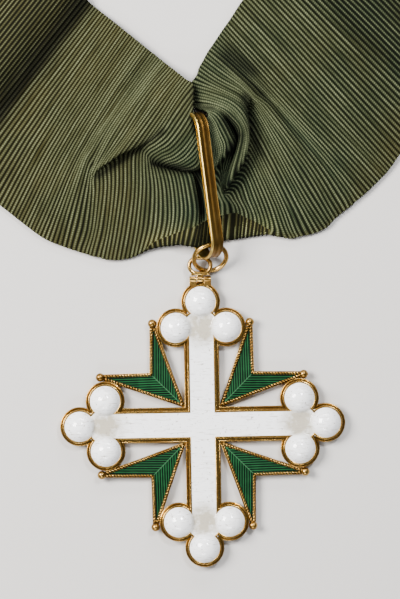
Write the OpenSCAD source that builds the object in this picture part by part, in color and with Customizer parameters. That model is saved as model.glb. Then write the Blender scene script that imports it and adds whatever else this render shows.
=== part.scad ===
// Order neck badge: an enamelled trefoil cross over a green eight-pointed cross,
// hinged to an oval eye and hung by a ring and a long flat bail from a wide neck ribbon.
// It lies face up on the floor at z = 0, with the middle of the cross over the origin.

/* [White cross] */
// From the middle of the cross, along the arm, to each side dome
side_reach = 18.7; // [18:0.1:20.5]
// From the side domes, along the arm, out to the end dome
end_out = 5.3; // [5:0.05:5.6]
// From the arm's middle line out to each side dome
side_off = 4.85; // [4.6:0.05:5.3]
// Radius of each enamel dome
dome_r = 2.83; // [2.5:0.01:3]
// Height of each dome above the flat enamel
dome_rise = 1.75; // [1:0.05:2.4]
// Radius of the flat enamel between three domes
pad_r = 3.3; // [2.8:0.05:3.4]
// Width of the white enamel along each arm
enamel_w = 4.56; // [4:0.02:5]
// Width of the gold edge beside the arm's enamel
arm_rim_w = 1.07; // [0.95:0.01:1.3]
// Width of the gold edge around each dome
lobe_rim_w = 0.9; // [0.8:0.01:1.1]
// Width of the inner wall that holds the enamel
wall_w = 0.4; // [0.3:0.01:0.45]
// Width of the outer ridge of the gold edge
ridge_w = 0.26; // [0.2:0.01:0.3]
// Thickness of gold under the white enamel
tray_floor = 0.9; // [0.6:0.05:1.1]
// Height of the floor of the groove between ridge and wall
groove_h = 1.3; // [1.2:0.05:1.5]
// Height of the outer ridge
ridge_h = 1.6; // [1.55:0.05:1.9]
// Height of the inner wall
wall_h = 2.3; // [2.1:0.05:2.7]
// Drop from the wall's top to the flat enamel
enamel_drop = 0.15; // [0.05:0.01:0.3]

/* [Green cross] */
// From the middle lines of the cross to the corner of each notch
notch = 10.1; // [9.6:0.05:10.8]
// From the middle lines of the cross to the inner apex of each arm
apex = 3.2; // [3:0.05:3.3]
// From the side domes, along the arm, out to each ball
ball_out = 0.9; // [0.6:0.05:1.2]
// From the arm's middle line out to each ball
ball_across = 9.4; // [9.2:0.05:9.8]
// Radius of each ball
ball_r = 0.84; // [0.6:0.02:1]
// Width of each arm at its ball
tip_w = 1.1; // [0.9:0.05:1.3]
// Width of the twisted border
border_w = 0.58; // [0.5:0.01:0.7]
// Radius of the bead on top of the border
bead_r = 0.27; // [0.2:0.01:0.3]
// Height of the underside of each arm
arm_base = 0.35; // [0.1:0.05:0.5]
// Height of the floor under the green enamel
arm_floor = 0.95; // [0.8:0.05:1.1]
// Height of the border's wall
border_h = 1.5; // [1.4:0.05:1.7]
// Thickness of the green enamel at the border
green_t = 0.35; // [0.25:0.01:0.45]
// Extra thickness along the ridge from notch to apex
green_ridge = 0.2; // [0.1:0.01:0.3]

/* [Hinge and eye] */
// From the middle of the top dome up to the hinge's axis
hinge_out = 3.95; // [3.9:0.01:4.1]
// Height of the hinge's axis
hinge_z = 1.95; // [1.9:0.01:2.1]
// Radius of the hinge's knuckles
knuckle_r = 0.6; // [0.5:0.01:0.62]
// Radius of the hinge pin
pin_r = 0.22; // [0.18:0.01:0.3]
// Length of the whole hinge
hinge_w = 4.15; // [3.8:0.05:4.5]
// Length of the middle knuckle
middle_w = 1.24; // [1:0.02:1.5]
// Thickness of the leaf above the hinge
leaf_t = 0.66; // [0.5:0.02:0.8]
// Width of the leaf where it meets the eye
leaf_top_w = 3.3; // [3:0.05:3.6]
// From the hinge's axis to the middle of the oval eye
eye_rise = 2.63; // [2.6:0.01:2.7]
// Radius of the middle line at each end of the oval
eye_bend_r = 1.5; // [1.45:0.01:1.55]
// Straight length of the oval
eye_straight = 1.1; // [1:0.02:1.2]
// Radius of the eye's wire
eye_wire_r = 0.4; // [0.35:0.01:0.44]

/* [Ring] */
// Radius of the ring's middle line
ring_r = 3.15; // [3.1:0.01:3.2]
// Radius of the ring's wire
ring_wire_r = 0.46; // [0.4:0.01:0.48]
// From the middle of the oval eye across to the middle of the ring
ring_across = 1.985; // [1.94:0.005:2.03]
// From the middle of the oval eye up, along the cross, to the middle of the ring
ring_along = 1.43; // [1.38:0.01:1.48]
// Height of the ring's middle above the middle of the oval eye
ring_lift = 0.894; // [0.85:0.002:0.94]
// Tilt of the ring from lying flat, in degrees
ring_tilt = 40.7; // [39:0.1:42]
// Direction that the tilted ring faces, in degrees from the cross's right side
ring_face = -78.7; // [-80:0.1:-77]

/* [Bail] */
// Whole length of the bail
bail_len = 28.4; // [27.5:0.1:30]
// Whole depth of the bail, front to back
bail_depth = 7.2; // [6.9:0.05:7.5]
// Width of the bail's band
bail_w = 2.7; // [2.3:0.05:3]
// Thickness of the bail's band
bail_t = 1; // [0.8:0.05:1.1]
// Depth of each groove in the bail's outer face
reed_depth = 0.12; // [0.05:0.01:0.2]
// Width of each groove in the bail's outer face
reed_w = 0.22; // [0.1:0.01:0.3]
// Place of each groove from the middle of the band
reed_off = 0.5; // [0.3:0.01:0.7]
// From the middle of the oval eye across to the bend at the bail's foot
foot_across = 1.72; // [1.68:0.01:1.76]
// From the middle of the oval eye up to the middle of the bend at the bail's foot
foot_along = 4.88; // [4.85:0.01:4.92]
// Lean of the bail's top to the left, in degrees
bail_lean = 6.3; // [4:0.1:8]
// Turn of the bail about its own length, in degrees
bail_twist = 30; // [28:1:32]
// Space under the lowest edge of the bail
bail_lift = 0.25; // [0.22:0.01:0.3]

/* [Ribbon] */
// Width of the ribbon
ribbon_w = 41.5; // [39:0.5:43]
// Thickness of the ribbon
ribbon_t = 1; // [0.8:0.05:1]
// Radius of the ribbon's middle line where it folds
fold_r = 0.75; // [0.66:0.01:0.85]
// From the bail's middle up to the middle of the ribbon's top side
loop_rise = 86.4; // [78:0.2:96]
// Direction of the left strip as it leaves the photograph, in degrees
left_dir = 140; // [136:1:144]
// Direction of the right strip as it leaves the photograph, in degrees
right_dir = 48; // [45:1:52]

/* [Clasp] */
// Length of the clasp along the ribbon
clasp_len = 9; // [6:0.5:14]
// Thickness of each of the clasp's walls
clasp_wall = 0.6; // [0.4:0.05:1]
// Space between the two ribbon ends inside the clasp
end_space = 1; // [0.5:0.1:2]

/* [Fits] */
// Gap between the enamel and its tray
enamel_gap = 0.03; // [0.02:0.01:0.05]
// Gap around the hinge pin
pin_gap = 0.04; // [0.02:0.01:0.08]
// Gap between hinge knuckles and what they turn past
hinge_gap = 0.1; // [0.06:0.01:0.14]
// Gap between the ribbon and the clasp
clasp_gap = 0.3; // [0.2:0.05:0.5]

/* [Hidden] */
$fn = 64;
enamel_top = wall_h - enamel_drop;
slack = 0.5;
gold = "goldenrod";
end_reach = side_reach + end_out;
ball_along = side_reach + ball_out;
hinge_y = end_reach + hinge_out;
eye_y = hinge_y + eye_rise;
arm_half = enamel_w / 2 + enamel_gap + arm_rim_w;
lobe_r = dome_r + enamel_gap + lobe_rim_w;
bail_half = (bail_len - bail_depth) / 2;
bail_at = [foot_across - bail_half * sin(bail_lean), eye_y + foot_along + bail_half * cos(bail_lean)];
bail_mid_z = bail_depth / 2 * cos(bail_twist) + bail_w / 2 * sin(bail_twist) + bail_lift;

// White cross

module each_arm() {
    for (a = [0:90:270]) rotate([0, 0, a]) children();
}

// A trefoil cross as one slab: half_w is half the arm, lobe the radius of its round ends.
module trefoil_slab(half_w, lobe, pad, z0, z1) {
    translate([0, 0, z0]) {
        each_arm() {
            translate([-half_w, 0, 0]) cube([2 * half_w, end_reach, z1 - z0]);
            translate([0, end_reach, 0]) cylinder(r = lobe, h = z1 - z0);
            for (s = [-1, 1]) translate([s * side_off, side_reach, 0]) cylinder(r = lobe, h = z1 - z0);
            translate([0, side_reach, 0]) cylinder(r = pad, h = z1 - z0);
        }
    }
}

// The slab at a distance in from the gold's outer edge.
module edge_slab(inset, z0, z1) {
    trefoil_slab(arm_half - inset, lobe_r - inset, pad_r, z0, z1);
}

module enamel_slab(gap, z0, z1) {
    trefoil_slab(enamel_w / 2 + gap, dome_r + gap, pad_r + gap, z0, z1);
}

// A cap that rises from the flat enamel to the dome's top.
module dome() {
    cap_r = (dome_r * dome_r + dome_rise * dome_rise) / (2 * dome_rise);
    translate([0, 0, enamel_top]) intersection() {
        translate([0, 0, dome_rise - cap_r]) sphere(r = cap_r);
        translate([0, 0, -slack]) cylinder(r = dome_r, h = dome_rise + 2 * slack);
    }
}

module white_enamel() {
    color("whitesmoke") {
        enamel_slab(0, tray_floor + enamel_gap, enamel_top);
        each_arm() {
            translate([0, end_reach, 0]) dome();
            for (s = [-1, 1]) translate([s * side_off, side_reach, 0]) dome();
        }
    }
}

// Green cross: one arm in the quadrant where x and y are positive

tip_in = ball_across - tip_w / 2;
tip_out = ball_across + tip_w / 2;
tip_at = ball_along - ball_r / 2;
arm_line = [[apex, apex], [tip_at, tip_in], [tip_at, tip_out], [notch, notch],
    [tip_out, tip_at], [tip_in, tip_at]];

function unit(v) = v / norm(v);
function left_of(v) = [-v[1], v[0]];
function cross2(a, b) = a[0] * b[1] - a[1] * b[0];
// Where the line through p along u meets the line through q along v.
function meet(p, u, q, v) = p + u * cross2(q - p, v) / cross2(u, v);
// Where two sides of the arm meet after both move in by d. A side is its first corner's number.
function side_dir(i) = unit(arm_line[(i + 1) % 6] - arm_line[i]);
function inner(i, k, d) = meet(arm_line[i] + left_of(side_dir(i)) * d, side_dir(i),
    arm_line[k] + left_of(side_dir(k)) * d, side_dir(k));
// The four corners of the arm inside its border: apex, one tip, notch, other tip.
function inside_arm(d) = [inner(5, 0, d), inner(0, 2, d), inner(2, 3, d), inner(3, 5, d)];

// A round bar between two points.
module bar(p, q, r) {
    v = q - p;
    translate(p) rotate([0, acos(v[2] / norm(v)), atan2(v[1], v[0])]) cylinder(r = r, h = norm(v));
}

// The two balls at the tips of an arm, grown by gap.
module tip_balls(gap) {
    for (ball = [[ball_along, ball_across], [ball_across, ball_along]])
        translate([ball[0], ball[1], border_h - ball_r / 4]) sphere(r = ball_r + gap);
}

module v_tray() {
    mid = inside_arm(border_w / 2);
    difference() {
        union() {
            translate([0, 0, arm_base]) linear_extrude(border_h - arm_base) polygon(arm_line);
            for (ball = [[ball_along, ball_across], [ball_across, ball_along]]) for (from = [mid[0], mid[2]])
                bar([from[0], from[1], border_h], [ball[0], ball[1], border_h], bead_r);
            translate([mid[2][0], mid[2][1], border_h]) sphere(r = bead_r);
        }
        translate([0, 0, arm_floor]) linear_extrude(border_h) polygon(inside_arm(border_w));
    }
    tip_balls(0);
}

// The green enamel is a low roof: it rises from its sharp tips to the ridge line.
module green_arm(quarter) {
    foot = inside_arm(border_w + enamel_gap);
    low = arm_floor + enamel_gap;
    top = low + green_t;
    lift = [green_ridge / 2, 0, green_ridge, 0];
    points = concat([for (p = foot) [p[0], p[1], low]],
        [for (i = [0:3]) [foot[i][0], foot[i][1], top + lift[i]]]);
    color("seagreen") rotate([0, 0, 90 * quarter]) difference() {
        polyhedron(points = points, faces = [
            [0, 1, 2], [0, 2, 3], [4, 6, 5], [4, 7, 6],
            [0, 5, 1], [0, 4, 5], [1, 6, 2], [1, 5, 6], [2, 7, 3], [2, 6, 7], [3, 4, 0], [3, 7, 4]]);
        tip_balls(enamel_gap);
    }
}

module green_enamel_1() { green_arm(0); }
module green_enamel_2() { green_arm(1); }
module green_enamel_3() { green_arm(2); }
module green_enamel_4() { green_arm(3); }

// Hinge

lug_w = (hinge_w - middle_w) / 2 - hinge_gap;
knuckle_drop = lobe_r - sqrt(lobe_r * lobe_r - hinge_w * hinge_w / 4);

module knuckle(x0, x1) {
    translate([x0, hinge_y, hinge_z]) rotate([0, 90, 0]) cylinder(r = knuckle_r, h = x1 - x0);
}

module pin_bore() {
    translate([-hinge_w, hinge_y, hinge_z]) rotate([0, 90, 0]) cylinder(r = pin_r + pin_gap, h = 2 * hinge_w);
}

// Two lugs on the top lobe, with the slot between them for the middle knuckle.
module hinge_lugs() {
    root_y = end_reach + lobe_r - knuckle_drop - ridge_w;
    for (s = [-1, 1]) {
        x0 = s > 0 ? hinge_w / 2 - lug_w : -hinge_w / 2;
        knuckle(x0, x0 + lug_w);
        translate([x0, root_y, tray_floor]) cube([lug_w, hinge_y - root_y, hinge_z - tray_floor]);
        translate([x0, root_y, hinge_z - leaf_t]) cube([lug_w, hinge_y - root_y, 2 * leaf_t]);
    }
}

module middle_slot() {
    w = middle_w + 2 * hinge_gap;
    translate([0, hinge_y, hinge_z]) rotate([0, 90, 0])
        translate([0, 0, -w / 2]) cylinder(r = knuckle_r + hinge_gap, h = w);
}

module cross_frame() {
    color(gold) difference() {
        union() {
            difference() {
                edge_slab(0, 0, ridge_h);
                edge_slab(ridge_w, groove_h, ridge_h + slack);
            }
            difference() {
                enamel_slab(enamel_gap + wall_w, 0, wall_h);
                enamel_slab(enamel_gap, tray_floor, wall_h + slack);
            }
            each_arm() v_tray();
            hinge_lugs();
        }
        enamel_slab(enamel_gap, tray_floor, wall_h + slack);
        middle_slot();
        pin_bore();
    }
}

module hinge_pin() {
    color(gold) translate([-hinge_w / 2, hinge_y, hinge_z]) rotate([0, 90, 0]) cylinder(r = pin_r, h = hinge_w);
}

// Eye

leaf_y = hinge_y + knuckle_r + hinge_gap;
leaf_end_y = eye_y - eye_bend_r;

module oval_eye() {
    for (s = [0, 180]) translate([0, eye_y, hinge_z]) rotate([0, 0, s]) {
        translate([eye_straight / 2, 0, 0]) rotate([0, 0, -90]) rotate_extrude(angle = 180)
            translate([eye_bend_r, 0]) circle(r = eye_wire_r);
        translate([-eye_straight / 2, eye_bend_r, 0]) rotate([0, 90, 0])
            cylinder(r = eye_wire_r, h = eye_straight);
    }
}

module suspension_eye() {
    color(gold) difference() {
        union() {
            knuckle(-middle_w / 2, middle_w / 2);
            translate([-middle_w / 2, hinge_y, hinge_z - leaf_t / 2])
                cube([middle_w, leaf_end_y - hinge_y, leaf_t]);
            translate([0, 0, hinge_z - leaf_t / 2]) linear_extrude(leaf_t) polygon([
                [-hinge_w / 2, leaf_y], [hinge_w / 2, leaf_y],
                [leaf_top_w / 2, leaf_end_y], [-leaf_top_w / 2, leaf_end_y]]);
            oval_eye();
        }
        pin_bore();
    }
}

// Ring and bail

module jump_ring() {
    color(gold) translate([ring_across, eye_y + ring_along, hinge_z + ring_lift])
        rotate([0, ring_tilt, ring_face])
        rotate_extrude() translate([ring_r, 0]) circle(r = ring_wire_r);
}

// A slab with two round ends, as long as the bail, taken in all round by inset.
module long_slab(inset, w) {
    r = bail_depth / 2 - inset;
    rotate([0, 90, 0]) translate([0, 0, -w / 2]) {
        for (s = [-1, 1]) translate([0, s * bail_half, 0]) cylinder(r = r, h = w);
        translate([-r, -bail_half, 0]) cube([2 * r, 2 * bail_half, w]);
    }
}

module ribbon_bail() {
    color(gold) translate([bail_at[0], bail_at[1], bail_mid_z])
        rotate([0, 0, bail_lean]) rotate([0, bail_twist, 0]) difference() {
            long_slab(0, bail_w);
            long_slab(bail_t, bail_w + 2 * slack);
            for (s = [-1, 1]) translate([s * reed_off, 0, 0]) difference() {
                long_slab(-slack, reed_w);
                long_slab(reed_depth, reed_w + slack);
            }
        }
}

// Ribbon

// Each row is one line across the ribbon, from its upper edge to its lower edge, left to right.
// The first eight columns are places from the middle of the bail, across in shares of the ribbon's
// width and up in shares of the bail's inner length, and the four levels are shares of the step
// between folded layers above the lying ribbon: upper edge across and up, bend across and up, fold across and up, lower edge across and up,
// level of the upper edge, of the bend, under the fold, of the lower edge,
// how steeply the fold drops in degrees, and the length of its steep face as a share of the width.
GATHER = [
    [-0.64, 1.548, -0.83, 1.187, -1.05, 0.778, -1.28, 0.341, 0, 0, 0, 0, 0, 0.007],
    [-0.46, 1.305, -0.63, 0.927, -0.77, 0.456, -0.893, -0.178, 0.5, 0.8, 0.4, 0, 0, 0.007],
    [-0.34, 1.159, -0.498, 0.841, -0.635, 0.228, -0.744, -0.349, 0.2, 0.5, 0, 0, 0, 0.007],
    [-0.25, 1.038, -0.406, 0.693, -0.52, 0.126, -0.597, -0.47, 0.5, 0.8, 0, 0.1, 30, 0.007],
    [-0.213, 0.959, -0.338, 0.629, -0.428, 0.204, -0.462, -0.523, 1.1, 1.6, 0.1, 0.1, 60, 0.012],
    [-0.187, 0.904, -0.265, 0.569, -0.332, 0.258, -0.336, -0.497, 1.9, 2.4, 0.6, 0.2, 60, 0.037],
    [-0.163, 0.857, -0.2, 0.55, -0.226, 0.212, -0.226, -0.446, 2.7, 3.2, 1.3, 0.5, 60, 0.046],
    [-0.14, 0.802, -0.15, 0.519, -0.124, 0.159, -0.12, -0.432, 3.2, 3.6, 1.6, 1.1, 60, 0.046],
    [-0.117, 0.645, -0.095, 0.472, -0.06, 0.148, -0.045, -0.443, 3.5, 3.6, 2, 2, 60, 0.037],
    [-0.066, 0.417, -0.042, 0.314, -0.025, 0.094, -0.014, -0.44, 3.2, 3.2, 1.9, 1.95, 60, 0.037],
    [-0.013, 0.401, -0.004, 0.303, 0.006, 0.053, 0.018, -0.44, 2.9, 3, 1.6, 1.6, 60, 0.037],
    [0.022, 0.424, 0.035, 0.314, 0.06, 0.031, 0.075, -0.44, 2.55, 2.6, 1.1, 0.9, 60, 0.037],
    [0.03, 0.692, 0.045, 0.508, 0.099, -0.016, 0.131, -0.401, 2.4, 2.5, 0.6, 0.4, 60, 0.037],
    [0.025, 0.817, 0.112, 0.553, 0.179, 0.099, 0.244, -0.357, 2.3, 2.6, 0.3, 0.1, 60, 0.046],
    [0.054, 0.916, 0.146, 0.637, 0.225, 0.303, 0.362, -0.341, 1.8, 2.2, 0, 0, 60, 0.037],
    [0.093, 1.038, 0.208, 0.712, 0.309, 0.401, 0.521, -0.318, 1, 1.4, 0, 0, 50, 0.012],
    [0.141, 1.174, 0.276, 0.814, 0.42, 0.44, 0.676, -0.151, 0.5, 0.7, 0, 0, 20, 0.007],
    [0.213, 1.349, 0.372, 0.97, 0.577, 0.607, 0.854, 0.091, 0, 0, 0, 0, 0, 0.007],
    [0.377, 1.583, 0.589, 1.287, 0.83, 0.94, 1.119, 0.53, 0, 0, 0, 0, 0, 0.007]];
UPPER = 0;
BEND = 2;
FOLD = 4;
LOWER = 6;
LEVEL_UPPER = 8;
LEVEL_BEND = 9;
LEVEL_FOLD = 10;
LEVEL_LOWER = 11;
TURN = 12;
FALL = 13;

bail_inner = bail_len - 2 * bail_t;
layer_step = 2 * fold_r;
rest_z = ribbon_t / 2;
upper_steps = 6;
turn_steps = 4;
lower_steps = 4;
rows_between = 3;
steepest = 2.2;
across = upper_steps + 2 * turn_steps + 1 + lower_steps + 1;

function mix(a, b, k) = a + (b - a) * k;
function spot(row, i) = bail_at + [ribbon_w * row[i], bail_inner * row[i + 1]];
function level(row, i) = rest_z + layer_step * max(0, row[i]);
function running(v, n) = n < 0 ? [0, 0] : v[n] + running(v, n - 1);
// A smooth path through four values that runs from b to c.
function smooth(a, b, c, d, k) = 0.5 * (2 * b + (c - a) * k + (2 * a - 5 * b + 4 * c - d) * k * k
    + (3 * b - a - 3 * c + d) * k * k * k);

// The steps of a fold: it turns down, runs down its steep face, and turns level again.
function fold_steps(turn, fall) =
    let (len = max(fold_r * turn * PI / 180 / turn_steps, ribbon_w / 200),
        headings = [for (i = [0:turn_steps - 1]) turn * (i + 0.5) / turn_steps])
    concat([for (a = headings) len * [cos(a), -sin(a)]], [fall * [cos(turn), -sin(turn)]],
        [for (i = [turn_steps - 1:-1:0]) len * [cos(headings[i]), -sin(headings[i])]]);

// The points of one line across the gathered ribbon.
function gathered_line(row) =
    let (steps = fold_steps(row[TURN], row[FALL] * ribbon_w), last = len(steps) - 1,
        trail = [for (i = [0:last]) running(steps, i)],
        upper = spot(row, UPPER), bend = spot(row, BEND), fold = spot(row, FOLD), lower = spot(row, LOWER),
        dir = unit(unit(fold - bend) + unit(lower - fold)),
        under = level(row, LEVEL_FOLD), over = under - trail[last][1],
        foot = fold + dir * trail[last][0])
    concat([for (i = [0:upper_steps]) let (k = i / upper_steps,
            p = mix(mix(upper, bend, k), mix(bend, fold, k), k),
            z = mix(mix(level(row, LEVEL_UPPER), level(row, LEVEL_BEND), k),
                mix(level(row, LEVEL_BEND), over, k), k)) [p[0], p[1], z]],
        [for (t = trail) [fold[0] + dir[0] * t[0], fold[1] + dir[1] * t[0], over + t[1]]],
        [for (i = [1:lower_steps]) let (k = i / lower_steps, p = mix(foot, lower, k))
            [p[0], p[1], mix(under, level(row, LEVEL_LOWER), k)]]);

function gather_row(i) = GATHER[max(0, min(len(GATHER) - 1, i))];
gathered = [for (i = [0:len(GATHER) - 2]) for (s = [0:rows_between - 1])
        gathered_line(smooth(gather_row(i - 1), gather_row(i), gather_row(i + 1), gather_row(i + 2),
            s / rows_between)), gathered_line(gather_row(len(GATHER) - 1))];

// A straight line across the ribbon from its upper to its lower edge.
function flat_line(upper, lower, z) = [for (j = [0:across - 1])
        let (p = mix(upper, lower, j / (across - 1))) [p[0], p[1], z]];
function square_line(mid, dir, side, z) =
    flat_line(mid + side * ribbon_w / 2, mid - side * ribbon_w / 2, z);

// One strip runs from the gather to a corner, folds over flat there and comes back along the top.
first_row = GATHER[0];
last_row = GATHER[len(GATHER) - 1];
function corner_of(row, dir) = let (p = (spot(row, UPPER) + spot(row, LOWER)) / 2)
    p + dir * (bail_at[1] + loop_rise - p[1]) / dir[1];
left_v = [cos(left_dir), sin(left_dir)];
right_v = [cos(right_dir), sin(right_dir)];
left_corner = corner_of(first_row, left_v);
right_corner = corner_of(last_row, right_v);
clasp_x = (left_corner[0] + right_corner[0]) / 2;
clasp_z = clasp_wall + clasp_gap + ribbon_t / 2;
mouth = clasp_len / 2 + ribbon_t;

// All lines of one side, from the gather out to the clasp.
function strip(row, corner, dir, back, side) =
    let (start = (spot(row, UPPER) + spot(row, LOWER)) / 2, mitre = unit(dir + back) *
            (unit(dir + back) * side > 0 ? 1 : -1),
        half = ribbon_w / 2 / (mitre * side), out = dir - mitre * (dir * mitre),
        over = unit(out), end = [clasp_x, corner[1]] - back * end_space / 2,
        lead = ribbon_w * 0.6, covered = ribbon_w / 2 * (1 + side[1]) / dir[1])
    concat([for (k = [0.35, 0.7]) square_line(mix(start, corner - dir * lead, k), dir, side, rest_z)],
        [square_line(corner - dir * lead, dir, side, rest_z)],
        [for (a = [0:30:180]) let (c = corner + over * fold_r * sin(a))
            flat_line(c + mitre * half, c - mitre * half, rest_z + fold_r * (1 - cos(a)))],
        [for (x = [lead, covered + ribbon_t]) square_line(corner + back * x, back, [0, 1], rest_z + layer_step)],
        [square_line(corner + back * (covered + lead / 2), back, [0, 1], rest_z)],
        [square_line(end - back * (mouth + lead / 4), back, [0, 1], rest_z)],
        [for (s = [mouth, 0]) square_line(end - back * s, back, [0, 1], clasp_z)]);

left_lines = strip(first_row, left_corner, left_v, [1, 0], left_of(left_v) * -1);
right_lines = strip(last_row, right_corner, right_v, [-1, 0], left_of(right_v));
function reversed(v) = [for (i = [len(v) - 1:-1:0]) v[i]];
lines = concat(reversed(left_lines), gathered, right_lines);

// A closed sheet: every point of the middle surface moves half the thickness to each side.
// Between the lines from and to, where the sheet lies in gathers, it moves straight up and down.
module sheet(grid, thick, from, to) {
    n = len(grid);
    m = len(grid[0]);
    function at(i, j) = grid[max(0, min(n - 1, i))][max(0, min(m - 1, j))];
    function normal(i, j) = unit(cross(at(i + 1, j) - at(i - 1, j), at(i, j + 1) - at(i, j - 1)));
    function no(side, i, j) = side * n * m + i * m + j;
    function shift(i, j) = let (v = normal(i, j) * thick / 2)
        i < from || i > to ? v : [0, 0, sign(v[2]) * thick / 2 * min(steepest, thick / 2 / abs(v[2]))];
    function above_floor(p) = [p[0], p[1], max(0, p[2])];
    points = [for (side = [-1, 1]) for (i = [0:n - 1]) for (j = [0:m - 1])
            above_floor(grid[i][j] + side * shift(i, j))];
    faces = concat(
        [for (i = [0:n - 2]) for (j = [0:m - 2]) [no(0, i, j), no(0, i + 1, j), no(0, i + 1, j + 1)]],
        [for (i = [0:n - 2]) for (j = [0:m - 2]) [no(0, i, j), no(0, i + 1, j + 1), no(0, i, j + 1)]],
        [for (i = [0:n - 2]) for (j = [0:m - 2]) [no(1, i, j), no(1, i + 1, j + 1), no(1, i + 1, j)]],
        [for (i = [0:n - 2]) for (j = [0:m - 2]) [no(1, i, j), no(1, i, j + 1), no(1, i + 1, j + 1)]],
        [for (i = [0:n - 2]) each [[no(0, i, 0), no(1, i, 0), no(1, i + 1, 0)],
            [no(0, i, 0), no(1, i + 1, 0), no(0, i + 1, 0)],
            [no(0, i, m - 1), no(1, i + 1, m - 1), no(1, i, m - 1)],
            [no(0, i, m - 1), no(0, i + 1, m - 1), no(1, i + 1, m - 1)]]],
        [for (j = [0:m - 2]) each [[no(0, 0, j), no(1, 0, j + 1), no(1, 0, j)],
            [no(0, 0, j), no(0, 0, j + 1), no(1, 0, j + 1)],
            [no(0, n - 1, j), no(1, n - 1, j), no(1, n - 1, j + 1)],
            [no(0, n - 1, j), no(1, n - 1, j + 1), no(0, n - 1, j + 1)]]]);
    polyhedron(points = points, faces = faces);
}

module neck_ribbon() {
    color("darkseagreen") sheet(lines, ribbon_t, len(left_lines), len(left_lines) + len(gathered) - 1);
}

module ribbon_clasp() {
    outer = [clasp_len, ribbon_w + 2 * (clasp_gap + clasp_wall), ribbon_t + 2 * (clasp_gap + clasp_wall)];
    inner_size = [clasp_len + 2 * slack, ribbon_w + 2 * clasp_gap, ribbon_t + 2 * clasp_gap];
    color(gold) translate([clasp_x, left_corner[1], outer[2] / 2]) difference() {
        cube(outer, center = true);
        cube(inner_size, center = true);
    }
}

cross_frame();
white_enamel();
green_enamel_1();
green_enamel_2();
green_enamel_3();
green_enamel_4();
hinge_pin();
suspension_eye();
jump_ring();
ribbon_bail();
neck_ribbon();
ribbon_clasp();
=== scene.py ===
"""The visual model of an enamelled neck badge on its ribbon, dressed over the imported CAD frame."""

import logging
import math
from dataclasses import dataclass
from enum import Enum
from typing import Callable, Iterable, Sequence

import bmesh
import bpy
from mathutils import Matrix, Vector


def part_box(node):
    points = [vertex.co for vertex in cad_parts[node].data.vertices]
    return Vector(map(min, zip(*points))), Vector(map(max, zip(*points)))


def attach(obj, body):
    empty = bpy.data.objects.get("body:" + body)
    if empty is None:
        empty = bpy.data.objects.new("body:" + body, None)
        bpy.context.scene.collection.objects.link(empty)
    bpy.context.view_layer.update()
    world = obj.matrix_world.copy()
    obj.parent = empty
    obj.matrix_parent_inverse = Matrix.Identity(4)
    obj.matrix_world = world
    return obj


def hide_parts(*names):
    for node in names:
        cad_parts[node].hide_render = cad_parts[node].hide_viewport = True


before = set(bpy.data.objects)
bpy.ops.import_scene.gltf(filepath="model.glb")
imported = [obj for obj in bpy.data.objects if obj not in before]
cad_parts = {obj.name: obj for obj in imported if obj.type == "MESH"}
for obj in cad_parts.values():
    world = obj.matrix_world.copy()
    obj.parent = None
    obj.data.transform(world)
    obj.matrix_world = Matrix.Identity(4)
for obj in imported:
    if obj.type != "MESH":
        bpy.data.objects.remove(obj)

LOG = logging.getLogger("neck_badge")
MM = 0.001
FULL = 2 * math.pi
Point2 = tuple[float, float]
Point3 = tuple[float, float, float]
Row = list[list[float]]
Piece = bpy.types.Object
Material = bpy.types.Material
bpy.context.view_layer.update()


class Slot(Enum):
    """The record's material slots."""

    GOLD = "gold"
    WHITE = "white_enamel"
    GREEN = "green_enamel"
    SILK = "ribbon_silk"


class Body(Enum):
    """The CAD bodies that a piece can ride on."""

    CROSS = "cross"
    SUSPENSION = "suspension"


# ---------------------------------------------------------------------------------------------
# Shader maths


def maths(operation: str, swapped: bool = False) -> Callable[..., "Wire"]:
    """Make a method of Wire that adds one Math node.

    Args:
        operation: The node's operation.
        swapped: Whether the other value comes first.

    Returns:
        The method.
    """

    def method(self: "Wire", other: object = 0.0) -> "Wire":
        """Self and the other value through the node."""
        first, second = (other, self) if swapped else (self, other)
        return self.recipe.node("ShaderNodeMath", {"operation": operation}, {0: first, 1: second})

    return method


class Wire:
    """A node's output that takes part in arithmetic, as in 1 - mask or wave * depth."""

    def __init__(self, recipe: "Recipe", socket: bpy.types.NodeSocket) -> None:
        """Keep the socket and the recipe that it belongs to."""
        self.recipe = recipe
        self.socket = socket

    __add__ = __radd__ = maths("ADD")
    __sub__, __rsub__ = maths("SUBTRACT"), maths("SUBTRACT", True)
    __mul__ = __rmul__ = maths("MULTIPLY")
    __pow__, cosine = maths("POWER"), maths("COSINE")

    def limited(self) -> "Wire":
        """Self held between 0 and 1."""
        return self.recipe.node("ShaderNodeClamp", {}, {"Value": self})


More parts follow.
